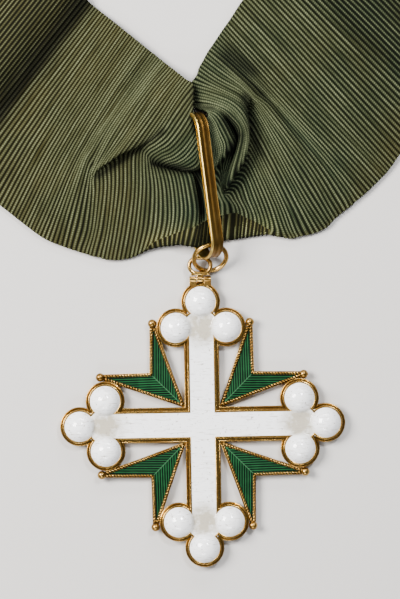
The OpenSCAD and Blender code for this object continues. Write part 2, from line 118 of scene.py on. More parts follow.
class Recipe:
    """A material under construction: its tree, its nodes and its one principled shader."""

    def __init__(self, name: str) -> None:
        """Start an empty material of that name."""
        self.material = bpy.data.materials.new(name)
        self.material.use_nodes = True
        self.tree = self.material.node_tree
        self.tree.nodes.clear()

    def node(self, kind: str, settings: dict[str, object], inputs: dict[object, object],
             output: int | str = 0) -> Wire | None:
        """Add a node.

        Args:
            kind: The node's type, such as ShaderNodeMath.
            settings: Properties that are set first.
            inputs: Values or wires for its sockets, by number or name.
            output: The output that is returned.

        Returns:
            The output as a wire, or None from a node that has no output.
        """
        made = self.tree.nodes.new(kind)
        for key, value in settings.items():
            setattr(made, key, value)
        for key, value in inputs.items():
            if isinstance(value, Wire):
                self.tree.links.new(value.socket, made.inputs[key])
            else:
                made.inputs[key].default_value = value
        return Wire(self, made.outputs[output]) if made.outputs else None

    def stretch(self, where: Wire, scale: Point3, lean: float = 0.0) -> Wire:
        """A place that is scaled and then turned about Z by lean."""
        return self.node("ShaderNodeMapping", {}, {
            "Vector": where, "Scale": scale, "Rotation": (0.0, 0.0, lean)})

    def place(self) -> Wire:
        """Object coordinates in millimetres."""
        return self.stretch(self.node("ShaderNodeTexCoord", {}, {}, "Object"), (1 / MM,) * 3)

    def noise(self, where: Wire, size: float, detail: float = 3.0, rough: float = 0.55) -> Wire:
        """Cloudy noise, size in turns per unit of the place it reads."""
        return self.node("ShaderNodeTexNoise", {}, {
            "Vector": where, "Scale": size, "Detail": detail, "Roughness": rough})

    def attribute(self, name: str) -> Wire:
        """A number stored on the mesh's points."""
        return self.node("ShaderNodeAttribute", {"attribute_name": name}, {}, "Fac")

    def step(self, wire: Wire, low: float, high: float) -> Wire:
        """0 below low, 1 above high, smooth between."""
        return self.node("ShaderNodeMapRange", {"interpolation_type": "SMOOTHSTEP"}, {
            "Value": wire, "From Min": low, "From Max": high})

    def blend(self, share: Wire, first: Wire | Point3, second: Point3, how: str = "MIX") -> Wire:
        """Mix a second colour into the first."""
        first = first if isinstance(first, Wire) else (*first, 1.0)
        return self.node("ShaderNodeMix", {"data_type": "RGBA", "blend_type": how},
                         {0: share, 6: first, 7: (*second, 1.0)}, 2)

    def relief(self, height: Wire, depth: float, strength: float = 1.0,
               under: Wire | None = None) -> Wire:
        """A bump, depth in metres, over another bump if there is one."""
        below = {"Normal": under} if under else {}
        return self.node("ShaderNodeBump", {}, {
            "Height": height, "Distance": depth, "Strength": strength, **below})

    def finish(self, **sockets: object) -> Material:
        """Close the material with a principled shader whose sockets are named with underscores."""
        shader = self.node("ShaderNodeBsdfPrincipled", {},
                           {key.replace("_", " "): value for key, value in sockets.items()})
        self.node("ShaderNodeOutputMaterial", {}, {"Surface": shader})
        return self.material


# ---------------------------------------------------------------------------------------------
# Finishes


@dataclass(frozen=True)
class GiltFinish:
    """Polished gilt metal with brown tarnish and fine handling marks.

    The mesh's number for rubbing and highlights is above 0 where the metal is rubbed bright and along
    the bail's rim, where it paints a highlight, and below 0 in hollows.
    """

    bright: Point3 = (0.52, 0.325, 0.088)
    deep: Point3 = (0.19, 0.095, 0.02)
    hollow: Point3 = (0.1, 0.08, 0.06)
    gloss: float = 0.2
    dull: float = 0.34
    marks: float = 0.004
    patchy: float = 1.0

    def material(self, name: str) -> Material:
        """Build the material."""
        recipe = Recipe(name)
        place = recipe.place()
        fine = recipe.noise(place, 3.0, 4.0, 0.65)
        # The mesh's number adds rubbed brightness, and along the bail's rim a painted highlight.
        shine = recipe.attribute("shine")
        patches = recipe.step(recipe.noise(place, 0.35, 4.0) * 0.65 + fine * 0.35, 0.36, 0.66)
        wear_and_highlight = (patches * self.patchy + (1 - self.patchy) * 0.08 + shine).limited()
        colour = recipe.blend(wear_and_highlight, self.deep, self.bright)
        colour = recipe.blend((shine * -1).limited(), colour, self.hollow, "MULTIPLY")
        return recipe.finish(
            Base_Color=colour, Metallic=1.0, Roughness=self.dull + wear_and_highlight * (self.gloss - self.dull),
            Normal=recipe.relief(fine, self.marks * MM))


@dataclass(frozen=True)
class WhiteEnamelFinish:
    """Opaque white glass enamel, with grey-beige pooling kept in the mesh as the number pool."""

    body: Point3 = (0.90, 0.905, 0.915)
    pooled: Point3 = (0.40, 0.365, 0.29)
    pit: Point3 = (0.35, 0.31, 0.26)
    scratch_leans: Point2 = (0.5, 2.2)
    scratch_shape: Point3 = (0.45, 7.0, 1.0)

    def material(self, name: str) -> Material:
        """Build the material."""
        recipe = Recipe(name)
        place = recipe.place()
        stain = recipe.attribute("pool") * (recipe.noise(place, 0.75, 5.0, 0.6) * 3.0 - 0.2)
        colour = recipe.blend(stain.limited(), self.body, self.pooled)
        pits = recipe.step(recipe.noise(place, 2.2, 2.0), 0.655, 0.70)
        colour = recipe.blend(pits * 0.8, colour, self.pit)
        for lean in self.scratch_leans:
            grain = recipe.noise(recipe.stretch(place, self.scratch_shape, lean), 0.8, 1.0)
            colour = recipe.blend(recipe.step(grain, 0.67, 0.70) * 0.6, colour, self.pit)
        return recipe.finish(
            Base_Color=colour, Roughness=0.09 + pits * 0.3, Coat_Weight=0.6, Coat_Roughness=0.03,
            IOR=1.5, Normal=recipe.relief(recipe.noise(place, 0.8, 1.0) - pits * 0.6, 0.00008))


@dataclass(frozen=True)
class GreenEnamelFinish:
    """Deep translucent green glass over engraved lines; the lines follow the piece's own UV map."""

    deep: Point3 = (0.0003, 0.0042, 0.0014)
    lit: Point3 = (0.0085, 0.072, 0.022)
    pale: Point3 = (0.045, 0.13, 0.06)
    pitch: float = 0.46
    ridge_w: float = 0.14

    def material(self, name: str) -> Material:
        """Build the material."""
        recipe = Recipe(name)
        place = recipe.place()
        lines = recipe.node("ShaderNodeUVMap", {"uv_map": "lines"}, {})
        across, ridge = (recipe.node("ShaderNodeSeparateXYZ", {}, {0: lines}, axis) for axis in "XY")
        cloud = recipe.noise(place, 0.45, 4.0)
        wobble = recipe.noise(place, 0.8, 2.0) * 0.6
        wave = ((across * (FULL / self.pitch) + wobble).cosine() + 1) * 0.5
        streaks = recipe.step(wave, 0.5, 1.0) * (0.35 + cloud * 0.8)
        tone = streaks + recipe.step(cloud, 0.42, 0.72) * 0.12
        colour = recipe.blend(tone.limited(), self.deep, self.lit)
        colour = recipe.blend(recipe.step(ridge, self.ridge_w, 0.02) * 0.5, colour, self.pale)
        return recipe.finish(
            Base_Color=colour, Roughness=0.22, Coat_Weight=0.25, Coat_Roughness=0.08,
            Specular_IOR_Level=0.3, Normal=recipe.relief(wave + cloud * 0.8, 0.000012))


@dataclass(frozen=True)
class SilkFinish:
    """Faded ribbed silk.

    The mesh carries the rib count, the run across in millimetres, the tint from olive to green,
    and how much painted shade each place takes in the folds, or below 0 how much painted light.
    """

    olive: Point3 = (0.029, 0.0265, 0.0080)
    green: Point3 = (0.0080, 0.0190, 0.0095)
    # Painted highlight along the rib crests.
    crest_highlight: Point3 = (0.115, 0.128, 0.068)
    # Painted shade in the rib grooves.
    groove_shade: Point3 = (0.0012, 0.0014, 0.0006)
    between: Point3 = (0.45, 0.45, 0.45)
    # Painted shade in the folds, and painted light where the mesh's number is below 0.
    shaded: Point3 = (0.06, 0.06, 0.06)
    painted_light: Point3 = (2.4, 2.2, 1.9)
    grain_pitch: float = 0.42
    rib_depth: float = 0.0001
    grain_depth: float = 0.00006

    def material(self, name: str) -> Material:
        """Build the material."""
        recipe = Recipe(name)
        place = recipe.place()
        rib, run, hue, hollow = (recipe.attribute(key) for key in ("rib", "run", "tint", "hollow"))
        cloud = recipe.noise(place, 0.12, 4.0)
        along = recipe.node("ShaderNodeCombineXYZ", {}, {"X": rib, "Y": run * 0.07})
        uneven = recipe.noise(along, 0.9, 2.0, 0.7)
        wave = ((rib * FULL).cosine() + 1) * 0.5
        grain = ((run * (FULL / self.grain_pitch) + rib * math.pi).cosine() + 1) * 0.5
        fuzz = recipe.noise(place, 2.6, 3.0) - 0.5
        colour = recipe.blend((hue + (cloud - 0.5) * 0.9).limited(), self.olive, self.green)
        weave = (1 - grain) * 0.45 + (cloud - 0.35) * 0.5
        colour = recipe.blend(weave, colour, self.between, "MULTIPLY")
        # Painted highlight along each rib's crest.
        crest_highlight = recipe.step(wave + fuzz * 0.4, 0.74, 1.02) * (uneven - 0.28).limited()
        colour = recipe.blend((crest_highlight * 2.6 * (0.35 + grain * 0.65)).limited(), colour, self.crest_highlight)
        # Painted shade in each rib's groove.
        flank = recipe.step(wave + fuzz * 0.25 + (uneven - 0.5) * 0.5, 0.1, 0.72)
        colour = recipe.blend((1 - flank) * 0.95, colour, self.groove_shade)
        # Painted shade in the folds and gaps, and painted light on the hems where the number is below
        # 0.
        colour = recipe.blend(hollow.limited(), colour, self.shaded, "MULTIPLY")
        colour = recipe.blend((hollow * -1).limited(), colour, self.painted_light, "MULTIPLY")
        ribs = recipe.relief(wave ** 0.7, self.rib_depth)
        return recipe.finish(
            Base_Color=colour, Roughness=0.85, Specular_IOR_Level=0.06,
            Normal=recipe.relief(grain, self.grain_depth, 0.7, ribs))


@dataclass(frozen=True)
class PaleFloorFinish:
    """The pale floor under the badge."""

    colour: Point3 = (0.50, 0.485, 0.47)

    def material(self, name: str) -> Material:
        """Build the material."""
        return Recipe(name).finish(Base_Color=(*self.colour, 1.0), Roughness=0.8)


# ---------------------------------------------------------------------------------------------
# The bench: what a maker does with a piece in hand


class Bench:
    """Selecting, joining and finishing pieces with Blender's own operators."""

    @staticmethod
    def put_down() -> None:
        """Deselect everything."""
        for thing in bpy.context.selected_objects:
            thing.select_set(False)

    @classmethod
    def take(cls, piece: Piece) -> Piece:
        """Select one piece alone and make it active."""
        cls.put_down()
        piece.select_set(True)
        bpy.context.view_layer.objects.active = piece
        return piece

    @staticmethod
    def link(name: str, data: bpy.types.ID) -> Piece:
        """Put a new object with this data in the scene."""
        piece = bpy.data.objects.new(name, data)
        bpy.context.collection.objects.link(piece)
        return piece

    @staticmethod
    def made(name: str) -> Piece:
        """Name the object that an operator has just added."""
        piece = bpy.context.view_layer.objects.active
        piece.name = name
        return piece

    @classmethod
    def settle(cls, piece: Piece) -> Piece:
        """Apply the piece's place, turn and size, so that it sits at the origin."""
        cls.take(piece)
        bpy.ops.object.transform_apply(location=True, rotation=True, scale=True)
        return piece

    @classmethod
    def apply(cls, piece: Piece, kind: str, **settings: object) -> Piece:
        """Add one modifier with these settings and apply it."""
        cls.take(piece)
        made = piece.modifiers.new(kind.title(), kind)
        for key, value in settings.items():
            setattr(made, key, value)
        bpy.ops.object.modifier_apply(modifier=made.name)
        return piece

    @classmethod
    def join(cls, name: str, parts: Iterable[Piece]) -> Piece:
        """Join parts into one piece."""
        first, *others = parts
        cls.take(first)
        for part in others:
            part.select_set(True)
        bpy.ops.object.join()
        first.name = first.data.name = name
        return first

    @classmethod
    def smooth(cls, piece: Piece, angle: float = 40.0) -> Piece:
        """Shade smooth, apart from edges sharper than angle degrees."""
        cls.take(piece)
        bpy.ops.object.shade_smooth_by_angle(angle=math.radians(angle))
        return piece

    @classmethod
    def outward(cls, piece: Piece) -> Piece:
        """Turn every face outwards and shade smooth."""
        cls.take(piece)
        bpy.ops.object.mode_set(mode="EDIT")
        bpy.ops.mesh.select_all(action="SELECT")
        bpy.ops.mesh.normals_make_consistent(inside=False)
        bpy.ops.object.mode_set(mode="OBJECT")
        return cls.smooth(piece, 50)

    @staticmethod
    def store(piece: Piece, name: str, values: Sequence[float]) -> None:
        """Keep a number on every point of the mesh, for its material."""
        piece.data.attributes.new(name, "FLOAT", "POINT").data.foreach_set("value", values)

    @staticmethod
    def skirt(mesh: bmesh.types.BMesh, z: float) -> None:
        """Draw the mesh's open rim straight down to the height z, in millimetres."""
        rim = [edge for edge in mesh.edges if edge.is_boundary]
        for part in bmesh.ops.extrude_edge_only(mesh, edges=rim)["geom"]:
            if isinstance(part, bmesh.types.BMVert):
                part.co.z = z * MM

    @classmethod
    def swept(cls, curve: bpy.types.Curve, lines: Sequence[Sequence[Sequence[float]]],
              closed: bool) -> Piece:
        """Give a curve its lines, in millimetres, and turn it into a mesh."""
        for line in lines:
            spline = curve.splines.new("POLY")
            spline.points.add(len(line) - 1)
            for point, spot in zip(spline.points, line):
                x, y, z = (*spot, 0.0)[:3]
                point.co = (x * MM, y * MM, z * MM, 1.0)
            spline.use_cyclic_u = closed
        cls.take(cls.link(curve.name, curve))
        bpy.ops.object.convert(target="MESH")
        return bpy.context.view_layer.objects.active

    @classmethod
    def plate(cls, name: str, outlines: Sequence[Sequence[Point2]], low: float, high: float,
              soft: float, steps: int = 2) -> Piece:
        """A flat plate with softened edges, in millimetres.

        Args:
            name: The piece's name.
            outlines: The closed outline, and its holes.
            low: Height of the underside.
            high: Height of the top.
            soft: Radius of the softened edges.
            steps: Faces in each softened edge.

        Returns:
            The plate.
        """
        curve = bpy.data.curves.new(name, "CURVE")
        curve.dimensions = "2D"
        curve.fill_mode = "BOTH"
        curve.extrude = max(0.0, (high - low) / 2 - soft) * MM
        curve.bevel_depth = soft * MM
        curve.bevel_resolution = steps
        curve.offset = -soft * MM
        piece = cls.swept(curve, outlines, True)
        piece.location.z = (low + high) / 2 * MM
        return cls.settle(piece)

    @classmethod
    def wire(cls, name: str, paths: Sequence[Sequence[Point3]], radius: float, sides: int) -> Piece:
        """Round wire along each closed path, in millimetres."""
        curve = bpy.data.curves.new(name, "CURVE")
        curve.dimensions = "3D"
        curve.bevel_depth = radius * MM
        curve.bevel_resolution = sides
        return cls.smooth(cls.swept(curve, paths, True), 60)

    @classmethod
    def ball(cls, name: str, at: Point3, radius: float, rings: int) -> Piece:
        """A round ball, in millimetres."""
        cls.put_down()
        bpy.ops.mesh.primitive_uv_sphere_add(segments=2 * rings, ring_count=rings,
                                             radius=radius * MM, location=Vector(at) * MM)
        return cls.smooth(cls.settle(cls.made(name)), 60)

    @classmethod
    def rod(cls, name: str, start: Point3, end: Point3, radius: float, soft: float) -> Piece:
        """A round rod with softened ends, in millimetres."""
        cls.put_down()
        along = Vector(end) - Vector(start)
        bpy.ops.mesh.primitive_cylinder_add(
            vertices=40, radius=radius * MM, depth=along.length * MM,
            location=(Vector(start) + Vector(end)) * 0.5 * MM,
            rotation=along.to_track_quat("Z", "Y").to_euler())
        piece = cls.settle(cls.made(name))
        cls.apply(piece, "BEVEL", width=soft * MM, segments=3, limit_method="ANGLE",
                  angle_limit=math.radians(60))
        return cls.smooth(piece, 50)

    @classmethod
    def dress(cls, piece: Piece, material: Material, body: Body, slot: Slot,
              nodes: Sequence[str] = ()) -> Piece:
        """Give a piece its material, its body and the CAD nodes that it stands for."""
        piece.data.materials.clear()
        piece.data.materials.append(material)
        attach(piece, body.value)
        if nodes:
            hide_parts(*nodes)
        LOG.info("%s: %d faces on %s", piece.name, len(piece.data.polygons), body.value)
        return piece

    @classmethod
    def grid(cls, name: str, rows: Sequence[Sequence[Sequence[float]]], ring: bool = False) -> Piece:
        """A mesh through rows of points, in millimetres.

        Args:
            name: The piece's name.
            rows: Rows of equal length.
            ring: Whether each row is closed and the last row joins the first.

        Returns:
            The piece.
        """
        high, wide = len(rows), len(rows[0])
        faces = []
        for i in range(high if ring else high - 1):
            for j in range(wide if ring else wide - 1):
                k, m = (i + 1) % high, (j + 1) % wide
                faces.append((i * wide + j, i * wide + m, k * wide + m, k * wide + j))
        mesh = bpy.data.meshes.new(name)
        mesh.from_pydata([Vector(p) * MM for row in rows for p in row], [], faces)
        mesh.update()
        return cls.link(name, mesh)


def turn(point: Point2, degrees: float) -> Point2:
    """Turn a point about the middle of the cross."""
    c, s = math.cos(math.radians(degrees)), math.sin(math.radians(degrees))
    return (point[0] * c - point[1] * s, point[0] * s + point[1] * c)


def arc(centre: Point2, radius: float, start: float, end: float, step: float = 4.0) -> list[Point2]:
    """Points of an arc between two angles in degrees, anticlockwise, both ends included."""
    while end < start:
        end += 360
    count = max(2, math.ceil((end - start) / step))
    angles = [math.radians(start + (end - start) * i / count) for i in range(count + 1)]
    return [(centre[0] + radius * math.cos(a), centre[1] + radius * math.sin(a)) for a in angles]


def heading(centre: Point2, point: Point2) -> float:
    """The angle from a centre to a point, in degrees."""
    return math.degrees(math.atan2(point[1] - centre[1], point[0] - centre[0]))


def crossing(a: Point2, ra: float, b: Point2, rb: float) -> Point2:
    """Where two circles meet, on the right of the line from a to b."""
    dx, dy = b[0] - a[0], b[1] - a[1]
    gap = math.hypot(dx, dy)
    along = (ra * ra - rb * rb + gap * gap) / (2 * gap)
    off = -math.sqrt(max(0.0, ra * ra - along * along))
    return (a[0] + (dx * along - dy * off) / gap, a[1] + (dy * along + dx * off) / gap)


def eased(share: float) -> float:
    """A share from 0 to 1 with a soft start and end."""
    return share * share * (3 - 2 * share)


# ---------------------------------------------------------------------------------------------
# The white cross


@dataclass
class TrefoilCross:
    """The stepped gold tray of the trefoil cross with its white enamel, in millimetres."""

    side_reach: float = 18.7
    side_off: float = 4.85
    end_reach: float = 23.68
    dome_r: float = 2.83
    dome_rise: float = 1.95
    pad_r: float = 3.3
    enamel_w: float = 4.56
    arm_rim_w: float = 1.07
    lobe_rim_w: float = 0.9
    gap: float = 0.03
    wall_w: float = 0.4
    ridge_w: float = 0.3
    groove_z: float = 1.15
    ridge_z: float = 1.62
    wall_z: float = 2.3
    enamel_z: float = 2.15
    skirt_z: float = 1.3
    ridge_foot: float = 0.3
    wall_foot: float = 0.5
    base_soft: float = 0.08
    soft: float = 0.11
    cell: float = 0.16
    spare: float = 0.2
    fillet: float = 0.55
    pool_reach: float = 5.4

    def outline(self, half: float, lobe: float, pad: float) -> list[Point2]:
        """The trefoil cross's outline for one half-width of arm and one radius of lobe."""
        side, end = (self.side_off, self.side_reach), (0.0, self.end_reach)
        middle = (0.0, self.side_reach)
        start = (half, side[1] - math.sqrt(lobe * lobe - (side[0] - half) ** 2))
        touching = math.dist(side, end) < 2 * lobe
        low = crossing(side, lobe, end, lobe) if touching else crossing(side, lobe, middle, pad)
        flank = arc(side, lobe, heading(side, start), heading(side, low))
        high, bend = low, []
        if not touching:
            high = crossing(middle, pad, end, lobe)
            bend = arc(middle, pad, heading(middle, low), heading(middle, high))
        top = arc(end, lobe, heading(end, high), 180 - heading(end, high))
        quarter = [(half, half)] + flank + bend[1:] + top[1:]
        for part in (bend, flank):
            quarter += [(-x, y) for x, y in reversed(part)][1:]
        return [turn(p, 90 * k) for k in range(4) for p in quarter]

    def tray(self) -> Piece:
        """The base plate, the outer ridge and the inner wall."""
        half = self.enamel_w / 2 + self.gap + self.arm_rim_w
        lobe = self.dome_r + self.gap + self.lobe_rim_w
        inner, cup = self.enamel_w / 2 + self.gap, self.dome_r + self.gap
        edge = self.outline(half, lobe, self.pad_r)
        base = Bench.plate("tray_base", [edge], 0.0, self.groove_z, self.base_soft)
        ridge = Bench.plate("tray_ridge", [edge, self.outline(
            half - self.ridge_w, lobe - self.ridge_w, self.pad_r)], self.ridge_foot, self.ridge_z,
            self.soft, 3)
        wall = Bench.plate("tray_wall", [
            self.outline(inner + self.wall_w, cup + self.wall_w, self.pad_r + self.wall_w),
            self.outline(inner, cup, self.pad_r)], self.wall_foot, self.wall_z, self.soft, 3)
        return Bench.smooth(Bench.join("cross_tray", [base, ridge, wall]), 35)

    def centres(self) -> list[Point2]:
        """The middles of the twelve domes."""
        one = [(0.0, self.end_reach)] + [(s * self.side_off, self.side_reach) for s in (1, -1)]
        return [turn(p, 90 * k) for k in range(4) for p in one]

    def from_pad(self, x: float, y: float) -> float:
        """How far a place is from the nearest middle of three domes."""
        pads = [(s * way, s * (self.side_reach - way)) for s in (1, -1) for way in (0, self.side_reach)]
        return min(math.hypot(x - px, y - py) for px, py in pads)

    def height(self, x: float, y: float) -> Point2:
        """Height of the enamel over the flat, and how much pooled colour lies there."""
        cap = (self.dome_r ** 2 + self.dome_rise ** 2) / (2 * self.dome_rise)
        rise = 0.0
        for cx, cy in self.centres():
            away = math.hypot(x - cx, y - cy)
            top = math.sqrt(cap * cap - away * away) - cap + self.dome_rise if away < cap else -cap
            blend = max(self.fillet - abs(rise - top), 0.0) / self.fillet
            rise = max(rise, top) + blend * blend * self.fillet * 0.25
        near = eased(max(0.0, 1 - self.from_pad(x, y) / self.pool_reach))
        return rise, near * max(0.0, 1 - abs(rise)) ** 1.3

    def covers(self, x: float, y: float) -> bool:
        """Whether the enamel reaches a place, with a little to spare under the walls."""
        low, high = sorted((abs(x), abs(y)))
        on_arm = low < self.enamel_w / 2 + self.spare and high < self.end_reach
        cup = self.dome_r + self.spare
        on_dome = any(math.hypot(x - cx, y - cy) < cup for cx, cy in self.centres())
        return on_arm or on_dome or self.from_pad(x, y) < self.pad_r + self.spare

    def enamel(self) -> Piece:
        """Flat white arms that swell into twelve round domes."""
        reach = self.end_reach + self.dome_r + self.spare
        count = round(2 * reach / self.cell)
        Bench.put_down()
        bpy.ops.mesh.primitive_grid_add(x_subdivisions=count, y_subdivisions=count, size=2 * reach * MM)
        piece = Bench.made("white_enamel_glass")
        mesh = bmesh.new()
        mesh.from_mesh(piece.data)
        far = [face for face in mesh.faces if not self.covers(*(face.calc_center_median().xy / MM))]
        bmesh.ops.delete(mesh, geom=far, context="FACES")
        layer = mesh.verts.layers.float.new("pool")
        for vert in mesh.verts:
            rise, vert[layer] = self.height(vert.co.x / MM, vert.co.y / MM)
            vert.co.z = (self.enamel_z + rise) * MM
        Bench.skirt(mesh, self.skirt_z)
        mesh.to_mesh(piece.data)
        mesh.free()
        return Bench.smooth(piece, 75)

    def build(self, gilt: Material, white: Material) -> None:
        """Make the tray and its enamel."""
        Bench.dress(self.tray(), gilt, Body.CROSS, Slot.GOLD, ["cross_frame"])
        Bench.dress(self.enamel(), white, Body.CROSS, Slot.WHITE, ["white_enamel"])


# ---------------------------------------------------------------------------------------------
# The green cross


@dataclass
class ForkedArm:
    """One green V-shaped arm with its tray, twisted border and ball tips, in millimetres."""

    notch: float = 10.1
    apex: float = 3.2
    ball_along: float = 19.6
    ball_across: float = 9.4
    ball_r: float = 0.84
    tip_w: float = 1.1
    border_w: float = 0.74
    base_z: float = 0.35
    floor_z: float = 0.95
    border_z: float = 1.3
    glass_t: float = 0.42
    glass_ridge: float = 0.22
    ridge_reach: float = 4.0
    strand_r: float = 0.168
    strand_off: float = 0.2
    twist: float = 1.12
    twist_steps: int = 9
    plate_soft: float = 0.06
    wall_soft: float = 0.05
    rope_lift: float = 0.08
    ball_lift: float = 0.1
    rubbed: float = 0.05
    groove_in: float = 0.02
    groove_w: float = 0.09
    ball_clear: float = 0.04
    tuck: float = 0.1
    halves: int = 28

    def corners(self) -> list[Point2]:
        """The arm's outline in the first quarter: apex, one tip, the notch and the other tip."""
        near, far = self.ball_across - self.tip_w / 2, self.ball_across + self.tip_w / 2
        tip = self.ball_along - self.ball_r / 2
        return [(self.apex, self.apex), (tip, near), (tip, far), (self.notch, self.notch),
                (far, tip), (near, tip)]

    def inside(self, inset: float) -> list[Point2]:
        """Apex, tip, notch and other tip of the arm after its sides move in."""
        line = self.corners()

        def side(i: int) -> tuple[Vector, Vector]:
            """A side's moved point and its direction."""
            a, b = Vector(line[i]), Vector(line[(i + 1) % 6])
            way = (b - a).normalized()
            return a + Vector((-way.y, way.x)) * inset, way

        def meet(i: int, k: int) -> Point2:
            """Where two moved sides meet."""
            (p, u), (q, v) = side(i), side(k)
            spot = p + u * ((q - p).cross(v) / u.cross(v))
            return (spot.x, spot.y)

        return [meet(5, 0), meet(0, 2), meet(2, 3), meet(3, 5)]

    def tray(self) -> Piece:
        """The arm's plate and its low border wall."""
        line = self.corners()
        plate = Bench.plate("arm_plate", [line], self.base_z, self.floor_z, self.plate_soft)
        wall = Bench.plate("arm_wall", [line, self.inside(self.border_w)], self.base_z,
                           self.border_z, self.wall_soft)
        return Bench.smooth(Bench.join("arm_tray_1", [plate, wall]), 35)

    def rope(self) -> Piece:
        """Two strands twisted round each other along the whole border, and the balls."""
        z = self.border_z + self.rope_lift
        corners = [Vector((*p, z)) for p in self.inside(self.border_w / 2)]
        edges = list(zip(corners, corners[1:] + corners[:1]))
        path: list[Vector] = []
        for a, b in edges:
            count = max(1, round((b - a).length / (self.twist / self.twist_steps)))
            path += [a.xy.lerp(b.xy, i / count) for i in range(count)]
        total = len(path)
        turns = round(total / self.twist_steps)
        strands = []
        for start in (0.0, math.pi):
            strand = []
            for i, spot in enumerate(path):
                way = (path[(i + 1) % total] - path[i - 1]).normalized()
                angle = start + FULL * turns * i / total
                out, up = math.cos(angle) * self.strand_off, math.sin(angle) * self.strand_off
                strand.append((spot.x - way.y * out, spot.y + way.x * out, z + up))
            strands.append(strand)
        rope = Bench.wire("rope_strands", strands, self.strand_r, 1)
        ends = ((self.ball_along, self.ball_across), (self.ball_across, self.ball_along))
        balls = [Bench.ball("tip", (x, y, self.border_z + self.ball_lift), self.ball_r, 12)
                 for x, y in ends]
        piece = Bench.join("arm_rope_1", [rope, *balls])
        Bench.store(piece, "shine", [self.wear(min(self.away(vert.co / MM, a, b) for a, b in edges))
                                     for vert in piece.data.vertices])
        return piece

    @staticmethod
    def away(spot: Vector, a: Vector, b: Vector) -> float:
        """How far a place lies from the line between a and b."""
        way = b - a
        share = min(1.0, max(0.0, (spot - a).dot(way) / way.length_squared))
        return (spot - a - way * share).length

    def wear(self, away: float) -> float:
        """Brightness of the strands: dark between them, rubbed on top, and plain on the balls."""
        reach = self.strand_off + self.strand_r
        if away > reach + self.ball_clear:
            return 0.0
        dark = (reach - self.groove_in - away) / self.groove_w
        return self.rubbed - (1 + self.rubbed) * min(1.0, max(0.0, dark))

    def glass(self) -> Piece:
        """The green glass: two facets that meet on the ridge from notch to apex."""
        apex, tip, notch, other = (Vector(p) for p in self.inside(self.border_w - self.tuck))
        ridge = (notch - apex).normalized()
        values: list[Point2] = []
        facets = []
        for end in (tip, other):
            way = (end - notch).normalized()
            flat = Vector((-way.y, way.x))
            rows = []
            for i in range(self.halves + 1):
                # each row runs from the outer edge, notch to tip, to the inner edge, apex to tip
                outer, inner = notch.lerp(end, i / self.halves), apex.lerp(end, i / self.halves)
                row = []
                for j in range(self.halves + 1):
                    spot = outer.lerp(inner, j / self.halves)
                    off = abs((spot - apex).cross(ridge))
                    lift = self.glass_ridge * max(0.0, 1 - off / self.ridge_reach)
                    row.append((spot.x, spot.y, self.floor_z + self.glass_t + lift))
                    values.append((abs((spot - notch).dot(flat)), off))
                rows.append(row)
            facets.append(Bench.grid("facet", rows))
        piece = Bench.join("green_glass_1", facets)
        layer = piece.data.uv_layers.new(name="lines")
        for loop in piece.data.loops:
            layer.data[loop.index].uv = values[loop.vertex_index]
        mesh = bmesh.new()
        mesh.from_mesh(piece.data)
        for face in mesh.faces:
            if face.normal.z < 0:
                face.normal_flip()
        bmesh.ops.remove_doubles(mesh, verts=mesh.verts, dist=0.002 * MM)
        Bench.skirt(mesh, self.floor_z - self.tuck / 2)
        mesh.to_mesh(piece.data)
        mesh.free()
        return Bench.smooth(piece, 30)

    def build(self, gilt: Material, green: Material) -> None:
        """Make one arm and turn three copies of it round the cross."""
        for piece, material, slot in ((self.tray(), gilt, Slot.GOLD), (self.rope(), gilt, Slot.GOLD),
                                      (self.glass(), green, Slot.GREEN)):
            for quarter in range(4):
                copy = piece
                if quarter:
                    copy = Bench.link(f"{piece.name[:-1]}{quarter + 1}", piece.data.copy())
                    copy.data.transform(Matrix.Rotation(math.radians(90 * quarter), 4, "Z"))
                nodes = [f"green_enamel_{quarter + 1}"] if slot is Slot.GREEN else []
                Bench.dress(copy, material, Body.CROSS, slot, nodes)


# ---------------------------------------------------------------------------------------------
# Hinge, eye, ring and bail


